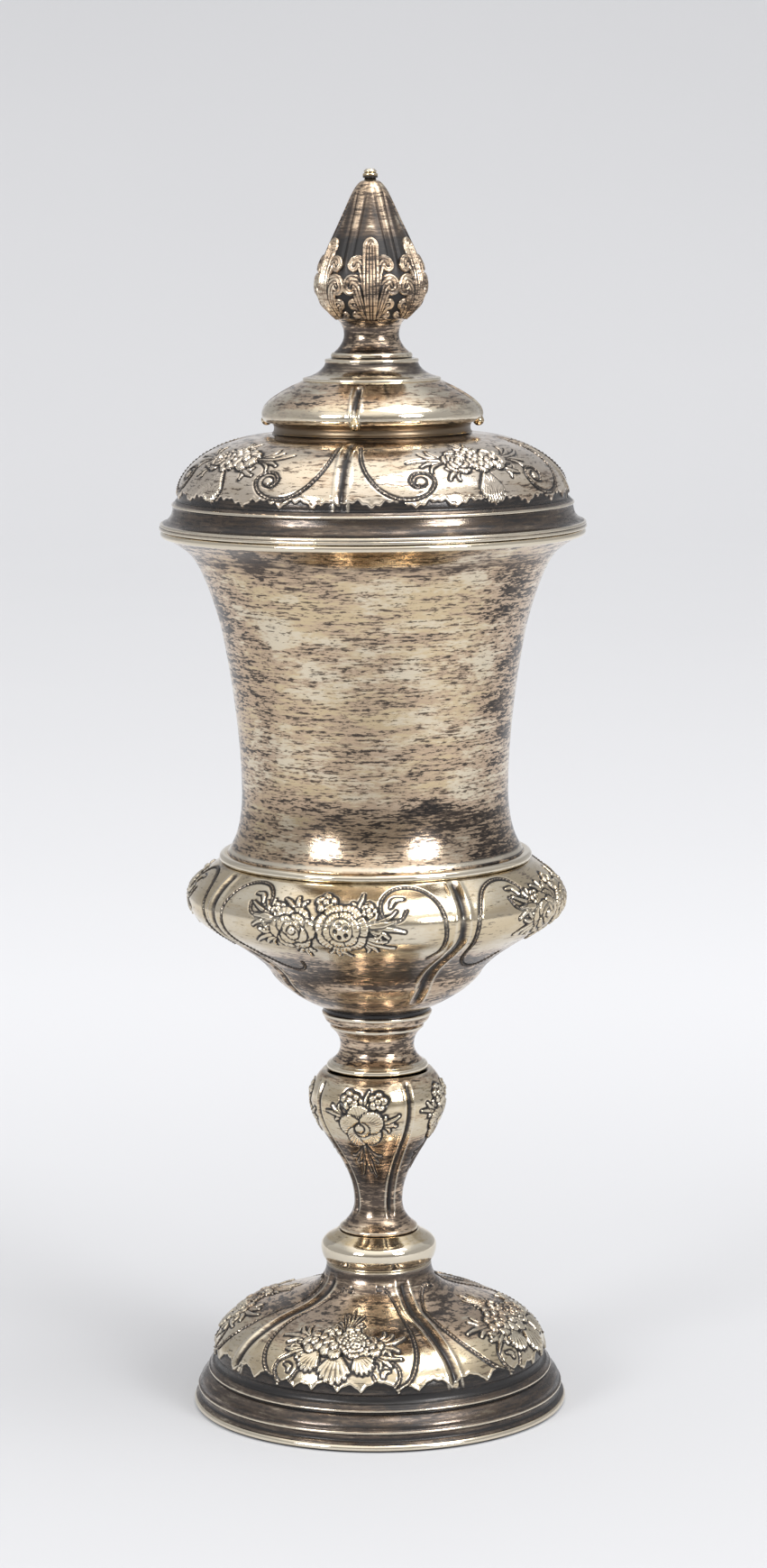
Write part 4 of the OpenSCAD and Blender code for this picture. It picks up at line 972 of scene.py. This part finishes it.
def silver(name, streaks, veil, yellow, polish, grain, blush=0.0):
    """Tarnished silver: rubbed ridges, streaked and clouded faces, and hollows darkened by the recess mark,
    which holds tarnish and painted shade.
    """
    tint = colours()
    f = Finish(name)
    place = f.place()
    recess, rub, patina = f.mark("recess"), f.mark("rub"), f.mark("patina")
    cloud = f.noise(place, (32, 32, 42), 5)
    drift = f.noise(place, (70, 70, 260), 7, 0.62)
    streak = f.noise(place, (120, 120, 1500), 4, 0.65)
    fleck = f.noise(place, (500, 500, 2200), 4, 0.65)
    fine = f.noise(place, (2600, 2600, 2600), 2)
    straw = (cloud + 0.5 * (drift - 0.5) + 0.3 * (fleck - 0.5)).between(0.40, 0.60)
    bare = f.mix(tint.bright, tint.blush, blush)
    colour = f.mix(bare, tint.warm, yellow * (straw + 0.35))
    thick = patina + veil + 0.8 * (cloud - 0.5) + 1.7 * (drift - 0.5) + streaks * 1.6 * (streak - 0.5)
    rosy = (thick + 0.9 * (fleck - 0.5)).between(0.27, 0.52)
    colour = f.mix(colour, tint.rose, rosy * 0.85)
    ragged = thick + 1.5 * (fleck - 0.5)
    patch = ragged.between(0.68, 0.82)
    colour = f.mix(colour, tint.brown, patch * 0.88)
    colour = f.mix(colour, tint.black, ragged.between(0.98, 1.14) * 0.7)
    speck = (fleck + 0.6 * (streak - 0.5) + 0.16 * thick).between(0.60, 0.685)
    colour = f.mix(colour, tint.black, speck * (0.30 + 0.55 * streaks))
    depth = recess - 0.25 * rub + 0.30 * (cloud - 0.5) + 0.35 * (fleck - 0.5)
    depth = depth + streaks * (1.3 * (streak - 0.5) + 0.7 * (drift - 0.5))
    colour = f.mix(colour, tint.brown, depth.between(0.08, 0.50) * 0.92)
    hollow = depth.between(0.35, 0.80)
    colour = f.mix(colour, tint.black, hollow * 0.95)
    shine = (rub + 0.3 * (fleck - 0.5)).between(0.25, 0.8)
    colour = f.mix(colour, tint.bright, shine * 0.85)
    rough = polish + 0.04 * rosy + 0.07 * patch + 0.10 * hollow + 0.05 * (fine - 0.5) - 0.04 * shine
    scratch = f.noise(place, (500, 500, 6000), 2)
    height = 0.6 * fine + 0.4 * scratch + 0.8 * fleck * streaks
    return f.surface(Base_Color=colour, Metallic=1 - 0.35 * hollow, Roughness=rough,
                     Normal=f.bump(height, 0.25 * grain, 0.0002))


def gilding(name):
    """Worn gilding with darker, redder patches, and browner where the recess mark holds tarnish and painted
    shade.
    """
    tint = colours()
    f = Finish(name)
    place = f.place()
    recess = f.mark("recess")
    cloud = f.noise(place, (60, 60, 120), 5)
    fleck = f.noise(place, (400, 400, 2000), 3)
    colour = f.mix(tint.gilt, tint.warm, cloud.between(0.45, 0.75) * 0.6)
    dull = (cloud + 0.9 * (fleck - 0.5) + 0.6 * recess).between(0.46, 0.68)
    colour = f.mix(colour, tint.brown, dull * 0.92)
    return f.surface(Base_Color=colour, Metallic=1.0, Roughness=0.12 + 0.2 * dull,
                     Normal=f.bump(fleck, 0.1, 0.0002))


def wrought_iron(name):
    """Dark iron with spots of rust."""
    tint = colours()
    f = Finish(name)
    place = f.place()
    cloud = f.noise(place, (180, 180, 180), 5)
    fine = f.noise(place, (1800, 1800, 1800), 3)
    rust = (cloud + 0.4 * (fine - 0.5)).between(0.55, 0.75)
    colour = f.mix(tint.iron, tint.brown, rust)
    return f.surface(Base_Color=colour, Metallic=0.9 - 0.6 * rust, Roughness=0.42 + 0.3 * rust,
                     Normal=f.bump(fine, 0.4, 0.0003))


SILVERS = {
    "streaked_silver": dict(streaks=0.85, veil=0.48, yellow=1.0, polish=0.12, grain=0.5),
    "blushed_silver": dict(streaks=0.75, veil=0.15, yellow=0.3, polish=0.12, grain=0.4, blush=0.6),
    "tooled_silver": dict(streaks=0.45, veil=0.18, yellow=0.55, polish=0.15, grain=0.4),
    "moulded_silver": dict(streaks=0.70, veil=0.36, yellow=0.55, polish=0.12, grain=0.4),
    "dulled_silver": dict(streaks=0.30, veil=0.42, yellow=0.6, polish=0.27, grain=0.5),
    "rubbed_silver": dict(streaks=0.25, veil=0.12, yellow=0.85, polish=0.09, grain=0.3),
}


def finish_of(kind):
    """The shared finish of that name, made when it is first asked for."""
    made = bpy.data.materials.get(kind)
    if made:
        return made
    if kind in SILVERS:
        return silver(kind, **SILVERS[kind])
    return gilding(kind) if kind == "gilding" else wrought_iron(kind)


# Pieces

# Rows and columns of the slimmer mouldings
SLIM = dict(spacing=0.3, columns=200)


class GOBLET_OT_foot(bpy.types.Operator):
    """Turns the rim wire and the stepped band of the foot"""
    bl_idname = "goblet.foot"
    bl_label = "Foot mouldings"

    def execute(self, context):
        turned_piece("foot_rim_wire", "goblet", "polished_silver", "rubbed_silver")
        turned_piece("foot_plinth", "goblet", "tarnished_silver", "moulded_silver", patina=0.3, grime_and_shade=0.58,
                     keen=0.22)
        return {"FINISHED"}


class GOBLET_OT_foot_dome(bpy.types.Operator):
    """Chases the four-lobed dome of the foot"""
    bl_idname = "goblet.foot_dome"
    bl_label = "Chased foot"

    def execute(self, context):
        line = dome_line()
        foot = int(np.argmin(np.hypot(line[:, 0] - DOME_R, line[:, 1] - DOME_Z)))
        relief = Relief(line, 1080, [(-9, 24, 0.25), (24, TO_END, 0.5)], foot)
        relief.lobes(LOBE_TURN, foot_panel(), from_s=-1.5, to_s=40, crown=1.2,
                     swing=((0, -2), (8, -3), (14, -4), (28, -5.5), (41, -3)))
        relief.level_ends()
        relief.tarnish((-3, 0.7), (0, 0.4), (2, -0.15), (9, -0.1), (15, 0.3), (24, 0.5), (36, 0.55))
        relief.darken(0.75 * ease(-relief.s / 0.4))
        relief.darken(0.6 * ease((relief.s - relief.s[-1] + 5) / 4))
        inner = np.vstack([
            [(ROD_BORE, DOME_TOP_Z), (ROD_BORE, DOME_TOP_Z - PLATE)],
            inset(line[foot::4], DOME_Z, DOME_TOP_Z - PLATE),
            [(DOME_R - 0.9 - SHEET, COVE_Z + 1.44), (COVE_R - 1.4 * SHEET, COVE_Z)]])
        chased_piece("foot_dome", "goblet", "chased_silver", relief, inner, "tooled_silver")
        return {"FINISHED"}


class GOBLET_OT_stem(bpy.types.Operator):
    """Turns the knop, rings, spool and bowl seat, and chases the baluster"""
    bl_idname = "goblet.stem"
    bl_label = "Stem"

    def execute(self, context):
        turned_piece("stem_knop", "goblet", "polished_silver", "rubbed_silver", **SLIM)
        turned_piece("stem_top_ring", "goblet", "polished_silver", "rubbed_silver", **SLIM)
        turned_piece("stem_neck", "goblet", "tarnished_silver", "moulded_silver", patina=0.3, hollow=0.3,
                     **SLIM)
        turned_piece("bowl_seat", "goblet", "tarnished_silver", "moulded_silver", patina=0.35, keen=0.16,
                     **SLIM)
        line = baluster_line()
        relief = Relief(line, 440, [(-1, 14, 0.5), (14, TO_END, 0.25)])
        relief.lobes(LOBE_TURN, stem_panel(), from_s=5, to_s=relief.s[-1] - 0.5, crown=1.0, groove=0.9,
                     wide=0.65)
        relief.level_ends()
        relief.tarnish((0, 0.2), (6, 0.65), (24, 0.75), (29, 0.5), (31, 0), (43, -0.05), (47, 0.3))
        inner = np.vstack([[(STEM_TOP_R - 1.6, STEM_TOP_Z)], inset(line[::6], STEM_Z, STEM_TOP_Z)[1:]])
        chased_piece("stem_baluster", "goblet", "chased_silver", relief, inner, "tooled_silver")
        return {"FINISHED"}


class GOBLET_OT_bulge(bpy.types.Operator):
    """Chases the four-lobed belly of the bowl"""
    bl_idname = "goblet.bulge"
    bl_label = "Chased belly"

    def execute(self, context):
        line = belly_line()
        relief = Relief(line, 1200, [(-1, 19, 0.6), (19, TO_END, 0.25)])
        relief.lobes(LOBE_TURN, belly_panel(), from_s=6, to_s=58.5, crown=1.1,
                     swing=((0, 0), (12, -3), (22, -2.5), (30, -1), (45, -2), (58, -0.5)))
        relief.level_ends()
        relief.tarnish((0, 0.3), (8, 0.55), (11, 0.35), (18, 0.65), (27, 0.7), (32, 0.15), (36, -0.05),
                       (48, -0.32), (57, -0.25))
        wall = inset(line[::5], BOWL_Z + PLATE, WAIST_Z)
        inner = np.vstack([[(BELLY_TOP_R - 1.5 * SHEET, WAIST_Z)], wall[1:], [(0, BOWL_Z + PLATE)]])
        chased_piece("bowl_bulge", "goblet", "chased_silver", relief, inner, "tooled_silver", "gilding",
                     closed=False, lead=[(0, BOWL_Z)])
        return {"FINISHED"}


def beaker_patina(azimuth, z):
    """Where the beaker is browner: its foot, a strip up its right side, and patches round the plain front."""
    around = (azimuth + 180) % 360 - 180
    patches = (0.18 + 0.20 * np.sin(np.radians(around))) * ease((164 - z) / 2.5)
    for at, level, wide, high, amount in (
            (52, 214, 13, 7, 0.52), (68, 192, 13, 32, 0.42), (-72, 204, 10, 14, 0.38),
            (-84, 160, 12, 10, 0.4), (22, 161, 16, 5, 0.55), (150, 200, 40, 22, 0.5),
            (-140, 176, 46, 20, 0.5)):
        away = (around - at + 180) % 360 - 180
        patches = np.maximum(patches, amount * np.exp(-(away / wide) ** 2 - ((z - level) / high) ** 2))
    lip = (0.07 - 0.08 * np.sin(np.radians(around))) * ease((z - 219) / 6)
    field = np.exp(-(around / 48) ** 8) * ease((z - 163) / 3) * ease((224 - z) / 8)
    plain = 0.14 * np.exp(-((z - 212) / 6) ** 2)
    return lip + patches * (1 - 0.75 * field) - (0.08 + plain) * field


class GOBLET_OT_beaker(bpy.types.Operator):
    """Turns the plain wall of the bowl with the rings at its foot and lip"""
    bl_idname = "goblet.beaker"
    bl_label = "Beaker"

    def execute(self, context):
        turned_piece("waist_wire", "goblet", "polished_silver", "rubbed_silver")
        turned_piece("bowl_beaker", "goblet", "tarnished_silver", "streaked_silver", spacing=0.8, columns=360,
                     patina=beaker_patina)
        turned_piece("lip_wire", "goblet", "polished_silver", "rubbed_silver")
        return {"FINISHED"}


class GOBLET_OT_lid(bpy.types.Operator):
    """Turns the lid's flange, collar and gilt neck"""
    bl_idname = "goblet.lid"
    bl_label = "Lid mouldings"

    def execute(self, context):
        turned_piece("lid_bezel", "lid_collar", "gilt_silver", "gilding", spacing=1.0, clear=0.08)
        turned_piece("lid_flange", "lid", "tarnished_silver", "moulded_silver", patina=0.25, grime_and_shade=0.55)
        # The gilt neck is darkened all over: painted shade under the cap.
        turned_piece("lid_neck", "lid", "gilt_silver", "gilding", grime_and_shade=0.9)
        return {"FINISHED"}


class GOBLET_OT_lid_dome(bpy.types.Operator):
    """Chases the four-lobed dome of the lid"""
    bl_idname = "goblet.lid_dome"
    bl_label = "Chased lid"

    def execute(self, context):
        line = lid_line()
        relief = Relief(line, 1200, [(-1, 24, 0.25), (24, TO_END, 0.8)])
        relief.lobes(LID_TURN, lid_panel(), from_s=-2, to_s=27, crown=0.8, groove=0.8, wide=0.9)
        relief.level_ends(low=0.2)
        relief.tarnish((0, 0.4), (3, 0.15), (10, 0.04), (16, 0.1), (24, 0.35))
        under = LID_TOP_Z - SHEET
        inner = np.vstack([[(LID_HOLE_R, LID_TOP_Z), (LID_HOLE_R, under)], inset(line[::4], LID_Z, under)])
        chased_piece("lid_dome", "lid", "chased_silver", relief, inner, "blushed_silver", "gilding")
        return {"FINISHED"}


def drop_arrays(azimuth, radius):
    """One hanging drop on the cap's edge, as points, quads and triangles."""
    rows, columns, long = 16, 28, 1.7
    edge_r, edge_z = CAP_R - 0.9, CAP_Z + 0.4
    tilt = np.linspace(0, np.pi, rows + 2)[1:-1][:, None]
    turn = 2 * np.pi * np.arange(columns)[None, :] / columns
    x, y = radius * np.sin(tilt) * np.cos(turn), radius * np.sin(tilt) * np.sin(turn)
    z = radius * np.where(np.cos(tilt) > 0, long, 1.0) * np.cos(tilt) * np.ones_like(turn)
    r = np.r_[(edge_r + x - 0.35 * np.maximum(z, 0)).ravel(), edge_r - 0.6 * radius, edge_r]
    y = np.r_[y.ravel(), 0, 0]
    z = edge_z + np.r_[z.ravel(), long * radius, -radius]
    a = math.radians(azimuth)
    points = np.stack([r * math.sin(a) + y * math.cos(a), -r * math.cos(a) + y * math.sin(a), z], -1)
    index = np.arange(rows * columns).reshape(rows, columns)
    quads = np.stack([index[1:], np.roll(index[1:], -1, 1), np.roll(index[:-1], -1, 1), index[:-1]], -1)
    top = np.stack([np.roll(index[0], -1), np.full(columns, index.size), index[0]], -1)
    foot = np.stack([index[-1], np.full(columns, index.size + 1), np.roll(index[-1], -1)], -1)
    return points * MM, quads.reshape(-1, 4), np.vstack([top, foot])


class GOBLET_OT_cap(bpy.types.Operator):
    """Raises the small cap of the lid, with four grooves that end in drops"""
    bl_idname = "goblet.cap"
    bl_label = "Cap"

    def execute(self, context):
        line = cap_line()
        relief = Relief(line, 560, [(-1, TO_END, 0.3)])
        relief.lobes(LID_TURN, None, from_s=-1, to_s=relief.s[-1] - 0.5, crown=0.3, groove=1.3, wide=0.7)
        relief.level_ends(low=0.3)
        relief.tarnish((0, -0.15), (4, 0.0), (9, 0.15))
        # Painted shade: a dark patch round the foot of each groove, where a drop hangs from the cap's edge.
        from_groove = np.abs((relief.azimuth - LID_TURN + HALF_LOBE) % LOBE_STEP - HALF_LOBE)
        beside = from_groove * np.pi / 180 * relief.r
        relief.darken(0.9 * np.exp(-(np.hypot(beside, relief.s - 2.0) / 2.2) ** 4))
        under = CAP_TOP_Z - PLATE
        inner = np.vstack([
            [(BOLT_BORE, CAP_TOP_Z), (BOLT_BORE, under)],
            inset(line[::5], CAP_Z + SHEET, under),
            [(LID_HOLE_R, CAP_Z + SHEET), (LID_HOLE_R, CAP_Z)]])
        chased_piece("lid_cap", "lid", "polished_silver", relief, inner, "moulded_silver")
        drops = [drop_arrays(LID_TURN + LOBE_STEP * q, DROP_R) for q in range(LOBES)]
        points, quads, tris = zip(*drops)
        first = np.arange(LOBES) * len(points[0])
        mesh = mesh_of("lid_cap_drops", np.vstack(points), np.vstack([q + n for q, n in zip(quads, first)]),
                       np.vstack([t + n for t, n in zip(tris, first)]))
        mesh.materials.append(finish_of("rubbed_silver"))
        beads = bpy.data.objects.new("lid_cap_drops", mesh)
        context.scene.collection.objects.link(beads)
        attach(beads, "lid")
        return {"FINISHED"}


class GOBLET_OT_finial(bpy.types.Operator):
    """Turns the finial's stepped foot, spool and tip, and ribs its bud"""
    bl_idname = "goblet.finial"
    bl_label = "Finial"

    def execute(self, context):
        turned_piece("finial_base", "lid", "tarnished_silver", "moulded_silver", **SLIM)
        turned_piece("finial_neck", "lid", "tarnished_silver", "moulded_silver", spacing=0.3, columns=160,
                     patina=0.42, hollow=0.4)
        turned_piece("finial_bolt", "lid", "polished_silver", "rubbed_silver", spacing=0.25, columns=64)
        line = bud_line()
        relief = Relief(line, 360, [(-1, TO_END, 0.3)])
        s, half = relief.s, LEAF_STEP / 2
        away = np.abs((relief.azimuth + LEAF_STEP) % LEAF_STEP - half)
        gap = away * np.pi / 180 * relief.r
        grow = ease((s - 12) / 5) * (0.3 + 0.7 * ease((s[-1] - 2 - s) / 5))
        rib = np.exp(-(gap / 0.7) ** 2)
        valley = np.exp(-((gap - 1.25) / 0.4) ** 2)
        swell = 0.35 * np.cos(np.pi * (1 - away / half) / 2)
        keel = np.exp(-((half - away) / 5) ** 2) * ease((s - 22) / 3) * ease((35 - s) / 4)
        relief.lift = grow * (0.45 * rib - 0.25 * valley + swell - 0.2)
        relief.lift = relief.lift + 0.10 * keel * np.cos(2 * np.pi * s / 0.9)
        # Painted shade: the bud is darkened on the flanks beside its ribs, and low down where the leaves
        # clasp it.
        flank = np.exp(-((gap - 2.4) / 1.5) ** 2) * ease((38 - s) / 9)
        relief.recess = np.maximum(grow * np.maximum(0.65 * flank, 0.6 * valley), 0.8 * ease((28 - s) / 7))
        relief.rub = 0.3 * grow * np.exp(-(gap / 0.5) ** 2)
        relief.level_ends()
        relief.tarnish((0, 0.4), (20, 0.35), (32, 0.25), (39, -0.1))
        crest = np.clip((s - s[-1]) / 4.2 + 1, 0, 0.98)
        relief.lift = relief.lift - 1.9 * (1 - np.sqrt(1 - crest ** 2))
        under = BUD_TIP_Z - PLATE
        inner = np.vstack([[(BOLT_BORE, BUD_TIP_Z), (BOLT_BORE, under)],
                           inset(line[::6], BUD_Z, under, BOLT_BORE)[1:]])
        chased_piece("finial_bud", "lid", "chased_silver", relief, inner, "dulled_silver")
        return {"FINISHED"}


class GOBLET_OT_leaves(bpy.types.Operator):
    """Chases the six lobed leaves that clasp the bud"""
    bl_idname = "goblet.leaves"
    bl_label = "Finial leaves"

    def execute(self, context):
        relief = Relief(bud_line(), 540, [(0.3, 24.6, 0.2)], to_tip=False)
        away = (relief.azimuth + LEAF_STEP / 2) % LEAF_STEP - LEAF_STEP / 2
        x = per_degree(BUD_R) * away * np.ones_like(relief.s)
        relief.lift, recess, rub = leaf_panel().read(x, np.broadcast_to(relief.s, x.shape))
        relief.recess = np.maximum(recess, 0.95 * ease((-0.1 - relief.lift) / 0.3))
        relief.rub = 0.4 * rub
        relief.tarnish((0, 0.25), (8, 0.18), (25, 0.15))
        relief.lift[[0, -1]] = -LEAF_SUNK
        inner = (relief.line - 0.85 * relief.normal)[::-8]
        chased_piece("finial_leaves", "lid", "chased_silver", relief, inner, "dulled_silver")
        return {"FINISHED"}


class GOBLET_OT_fittings(bpy.types.Operator):
    """Gives the rod, boss, washers and nuts their iron"""
    bl_idname = "goblet.fittings"
    bl_label = "Hidden fittings"

    def execute(self, context):
        for node in ("bowl_boss", "tie_rod", "tie_washer", "tie_nut", "finial_washer", "finial_nut"):
            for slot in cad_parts[node].material_slots:
                slot.material = finish_of("wrought_iron")
        return {"FINISHED"}


# Stage

def softbox(name, azimuth, elevation, distance, width, power):
    """A square lamp that looks at the middle of the goblet."""
    light = bpy.data.lights.new(name, "AREA")
    light.shape = "SQUARE"
    light.size = width
    light.energy = power
    lamp = bpy.data.objects.new(name, light)
    lamp.matrix_world = (Matrix.Translation(LAMP_AIM)
                         @ Matrix.Rotation(math.radians(azimuth), 4, "Z")
                         @ Matrix.Rotation(math.radians(90) - math.radians(elevation), 4, "X")
                         @ Matrix.Translation((0, 0, distance)))
    bpy.context.scene.collection.objects.link(lamp)


def sweep_mesh():
    """A floor that curves up into a backdrop."""
    near, far, bend_r, top, half_width = -4.0, 2.6, 1.2, 4.0, 5.0
    turn = np.linspace(0, np.pi / 2, 25)
    bend = np.stack([far + bend_r * np.sin(turn), bend_r - bend_r * np.cos(turn)], -1)
    line = np.vstack([[(near, 0)], bend, [(far + bend_r, top)]])
    n = len(line)
    points = np.concatenate([np.c_[np.full(n, x), line] for x in (-half_width, half_width)])
    first = np.arange(n - 1)
    return mesh_of("stage_sweep", points, np.stack([first, first + 1, first + n + 1, first + n], -1))


class GOBLET_OT_stage(bpy.types.Operator):
    """Sets the pale sweep, the soft lights and the camera"""
    bl_idname = "goblet.stage"
    bl_label = "Stage"

    def execute(self, context):
        scene = context.scene
        f = Finish("pale_sweep")
        place = f.place()
        grain = f.noise(place, (3, 3, 3), 2)
        tint = colours().floor
        across, depth, height = f.axes(place)
        # Painted shade: the sweep is darker at the sides and in front of the goblet.
        beside = (across * across).between(0.25, 1.2)
        before = depth.between(-0.65, -0.18, 1.0, 0.0)
        colour = f.mix(f.mix(0.58 * tint, 0.56 * tint, grain), 0.55 * tint, beside)
        colour = f.mix(colour, 0.42 * tint, before)
        # Painted light: the sweep glows, more strongly further back and less strongly up the backdrop, and
        # the glow is dimmer at the sides and in front.
        glow = f.mix(0.145 * tint, 0.39 * tint, depth.between(0.0, 0.6))
        glow = f.mix(glow, 0.33 * tint, height.between(0.0, 0.6))
        glow = f.mix(glow, 0.16 * tint, beside)
        glow = f.mix(glow, 0.06 * tint, before)
        f.surface(Base_Color=colour, Roughness=0.75 + 0.1 * grain, Emission_Color=glow, Emission_Strength=1.0)
        mesh = sweep_mesh()
        mesh.materials.append(f.data)
        floor = bpy.data.objects.new("stage_sweep", mesh)
        scene.collection.objects.link(floor)

        softbox("left_softbox", azimuth=-43, elevation=22, distance=1.6, width=0.5, power=12.0)
        softbox("right_softbox", azimuth=42, elevation=22, distance=1.6, width=0.5, power=14.0)
        softbox("overhead_softbox", azimuth=58, elevation=66, distance=1.5, width=0.9, power=9.0)

        scene.world = bpy.data.worlds.new("studio")
        w = Finish("studio", scene.world)
        across, back, up = w.axes(w.node("ShaderNodeTexCoord", out="Generated"))
        front = w.mix((0.34, 0.33, 0.32), (1.25, 1.23, 1.20), up.between(0.2, 0.75))
        room = w.mix(front, (0.62, 0.63, 0.65), back.between(-0.55, 0.25))
        room = w.mix(room, (0.48, 0.48, 0.49), (across * across).between(0.35, 0.8))
        room = w.mix(room, (1.42, 1.38, 1.33), up.between(0.72, 0.95))
        seen = w.node("ShaderNodeLightPath", out="Is Camera Ray")
        shade = w.mix(room, (0.74, 0.74, 0.76), seen)
        glow = w.node("ShaderNodeBackground", None, {"Color": shade, "Strength": 1.0})
        w.node("ShaderNodeOutputWorld", None, {"Surface": glow})

        camera = bpy.data.cameras.new("photo_camera")
        camera.sensor_width = SENSOR
        camera.lens = SENSOR * FOCAL_PX / PHOTO_H
        viewer = bpy.data.objects.new("photo_camera", camera)
        viewer.matrix_world = (Matrix.Translation(CAMERA_AT)
                               @ Matrix.Rotation(math.radians(90 - CAMERA_DOWN), 4, "X")
                               @ Matrix.Rotation(math.radians(CAMERA_ROLL), 4, "Z"))
        scene.collection.objects.link(viewer)
        scene.camera = viewer
        scene.view_settings.view_transform = "Standard"
        return {"FINISHED"}


PIECE_STEPS = (
    GOBLET_OT_foot, GOBLET_OT_foot_dome, GOBLET_OT_stem, GOBLET_OT_bulge, GOBLET_OT_beaker, GOBLET_OT_lid,
    GOBLET_OT_lid_dome, GOBLET_OT_cap, GOBLET_OT_finial, GOBLET_OT_leaves, GOBLET_OT_fittings,
    GOBLET_OT_stage)


class GOBLET_PT_pieces(bpy.types.Panel):
    """Lists the goblet's sizes, colours and pieces"""
    bl_idname = "GOBLET_PT_pieces"
    bl_label = "Covered Goblet"
    bl_space_type = "VIEW_3D"
    bl_region_type = "UI"
    bl_category = "Goblet"

    def draw(self, context):
        column = self.layout.column()
        for group in (context.scene.goblet_chasing, context.scene.goblet_silver):
            for name in group.__annotations__:
                column.prop(group, name)
        for step in PIECE_STEPS:
            column.operator(step.bl_idname)


CLASSES = (GobletChasing, GobletSilver, *PIECE_STEPS, GOBLET_PT_pieces)


def register():
    for cls in CLASSES:
        bpy.utils.register_class(cls)
    bpy.types.Scene.goblet_chasing = PointerProperty(type=GobletChasing)
    bpy.types.Scene.goblet_silver = PointerProperty(type=GobletSilver)


def unregister():
    del bpy.types.Scene.goblet_silver
    del bpy.types.Scene.goblet_chasing
    for cls in reversed(CLASSES):
        bpy.utils.unregister_class(cls)


def main():
    register()
    for step in PIECE_STEPS:
        family, name = step.bl_idname.split(".")
        getattr(getattr(bpy.ops, family), name)()


if __name__ == "__main__":
    main()
